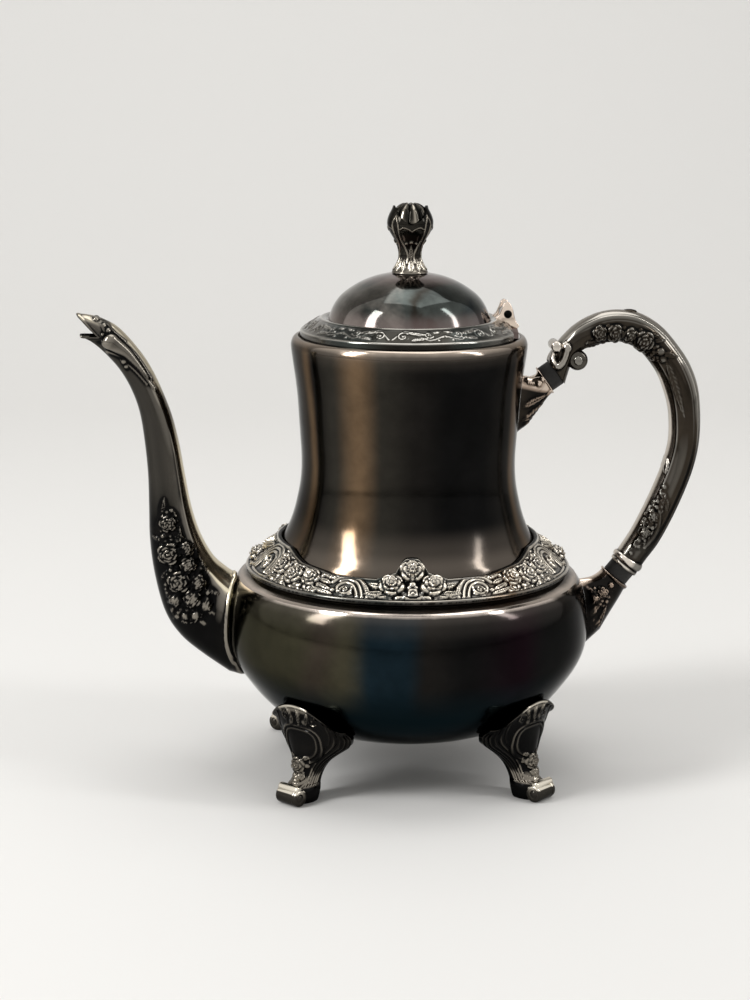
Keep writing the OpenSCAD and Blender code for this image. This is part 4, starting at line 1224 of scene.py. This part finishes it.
def rolled_toe():
    """The toe: a scroll rolled under, with a fillet over it and an eye at each end."""
    roll = joined(rod(4.1, 12.6, (81.6, 0, 4.1), edge=0.9), rod(1.9, 12.0, (82.4, 0, 7.9), edge=0.8),
                  *[bead(2.0, (82.2, y, 4.2), (1, 0.5, 1)) for y in (6.2, -6.2)],
                  rod(4.3, 1.2, (81.6, 4.2, 4.3), edge=0.4))
    # The fillet and the top of the roll carry a painted highlight; the scroll below it is mid grey.
    fillet, scroll_shade, fillet_z = 0.96, 0.54, 6.2
    return rub(roll, [fillet if vert.co.z > fillet_z else scroll_shade for vert in roll.verts])


for name, angle in (("foot_front_left", 225), ("foot_front_right", 315), ("foot_rear_left", 135),
                    ("foot_rear_right", 45)):
    foot = joined(pressed(220, 128, foot_form, foot_relief, tight=0.6), rolled_toe())
    bmesh.ops.rotate(foot, verts=foot.verts, cent=(0, 0, 0),
                     matrix=Matrix.Rotation(math.radians(angle), 3, "Z"))
    make_piece(name + "_casting", foot, [name], foot_finish)


# ---- nodes that keep their CAD shape ---------------------------------------------------------

for name, material in (("mouth_ring", neck_finish), ("lid_collar", dome_finish),
                       ("hinge_bracket", dome_finish), ("finial_washer", dome_finish),
                       ("finial_nut", dome_finish)):
    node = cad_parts[name]
    node.data.materials.clear()
    node.data.materials.append(material)


# ---- floor, light and camera -----------------------------------------------------------------

def pale_floor():
    """A floor that curves up into a wall behind the pot, in metres."""
    bm = bmesh.new()
    bend = [(1.0 + 0.8 * math.sin(t), 0.8 - 0.8 * math.cos(t)) for t in np.linspace(0.1, math.pi / 2, 16)]
    verts = [bm.verts.new((-4, y, z)) for y, z in [(-5, 0), (1.0, 0), *bend, (1.8, 5)]]
    edges = [bm.edges.new(pair) for pair in zip(verts, verts[1:])]
    drawn_out(bm, bmesh.ops.extrude_edge_only(bm, edges=edges), (8, 0, 0))
    floor = as_object("floor", bm)
    material, tree, shader = new_material("pale_floor")
    feed(tree, shader, {"Base Color": (0.78, 0.77, 0.75, 1), "Roughness": 0.7})
    floor.data.materials.append(material)


def softbox(name, place, aim, width, height, power):
    """An oblong lamp that faces a point."""
    lamp = bpy.data.lights.new(name, "AREA")
    lamp.shape, lamp.size, lamp.size_y, lamp.energy = "RECTANGLE", width, height, power
    box = bpy.data.objects.new(name, lamp)
    box.location = place
    box.rotation_euler = (Vector(aim) - Vector(place)).to_track_quat("-Z", "Y").to_euler()
    bpy.context.scene.collection.objects.link(box)


def daylight():
    """A pale room that lights the pot less than it shows in the metal."""
    world = bpy.data.worlds.new("studio")
    bpy.context.scene.world = world
    world.use_nodes = True
    tree = world.node_tree
    rays = tree.nodes.new("ShaderNodeLightPath").outputs
    seen = worked_out(tree, "MAXIMUM", rays["Is Camera Ray"], rays["Is Glossy Ray"])
    seen = worked_out(tree, "MAXIMUM", seen, rays["Is Transmission Ray"])
    feed(tree, tree.nodes["Background"], {"Color": (0.93, 0.92, 0.90, 1),
                                          "Strength": spread(tree, seen, 0, 1, 0.45, 1.0)})


def set_camera(lens, distance, height, aim_x, aim_z, yaw, roll):
    """Stands the camera at a distance and a height, aimed at a point of the pot. Angles are in degrees."""
    data = bpy.data.cameras.new("camera")
    data.sensor_width, data.lens = 36, lens
    camera = bpy.data.objects.new("camera", data)
    bpy.context.scene.collection.objects.link(camera)
    yaw, roll = math.radians(yaw), math.radians(roll)
    eye = Vector((-distance * math.sin(yaw), -distance * math.cos(yaw), height))
    aim = Vector((aim_x * math.cos(yaw), -aim_x * math.sin(yaw), aim_z))
    ahead = (aim - eye).normalized()
    right = ahead.cross(Vector((0, 0, 1))).normalized()
    up = right.cross(ahead)
    right, up = right * math.cos(roll) + up * math.sin(roll), up * math.cos(roll) - right * math.sin(roll)
    turn = Matrix((right, up, -ahead)).transposed().to_4x4()
    camera.matrix_world = Matrix.Translation(eye + Vector((AXIS / 1000, 0, 0))) @ turn
    bpy.context.scene.camera = camera


pale_floor()
softbox("window_left", (-1.44, -0.66, 1.15), (0, 0, 0.12), 0.4, 1.2, 22)
softbox("window_right", (1.46, -0.58, 1.25), (0, 0, 0.12), 0.2, 1.3, 9)
softbox("ceiling", (0.2, 0.3, 2.2), (0, 0, 0.1), 1.6, 1.6, 16)
daylight()
set_camera(81.29, 1.047, 0.353, -0.0156, 0.1298, 5.0, 0.3)
bpy.context.scene.view_settings.view_transform = "Standard"
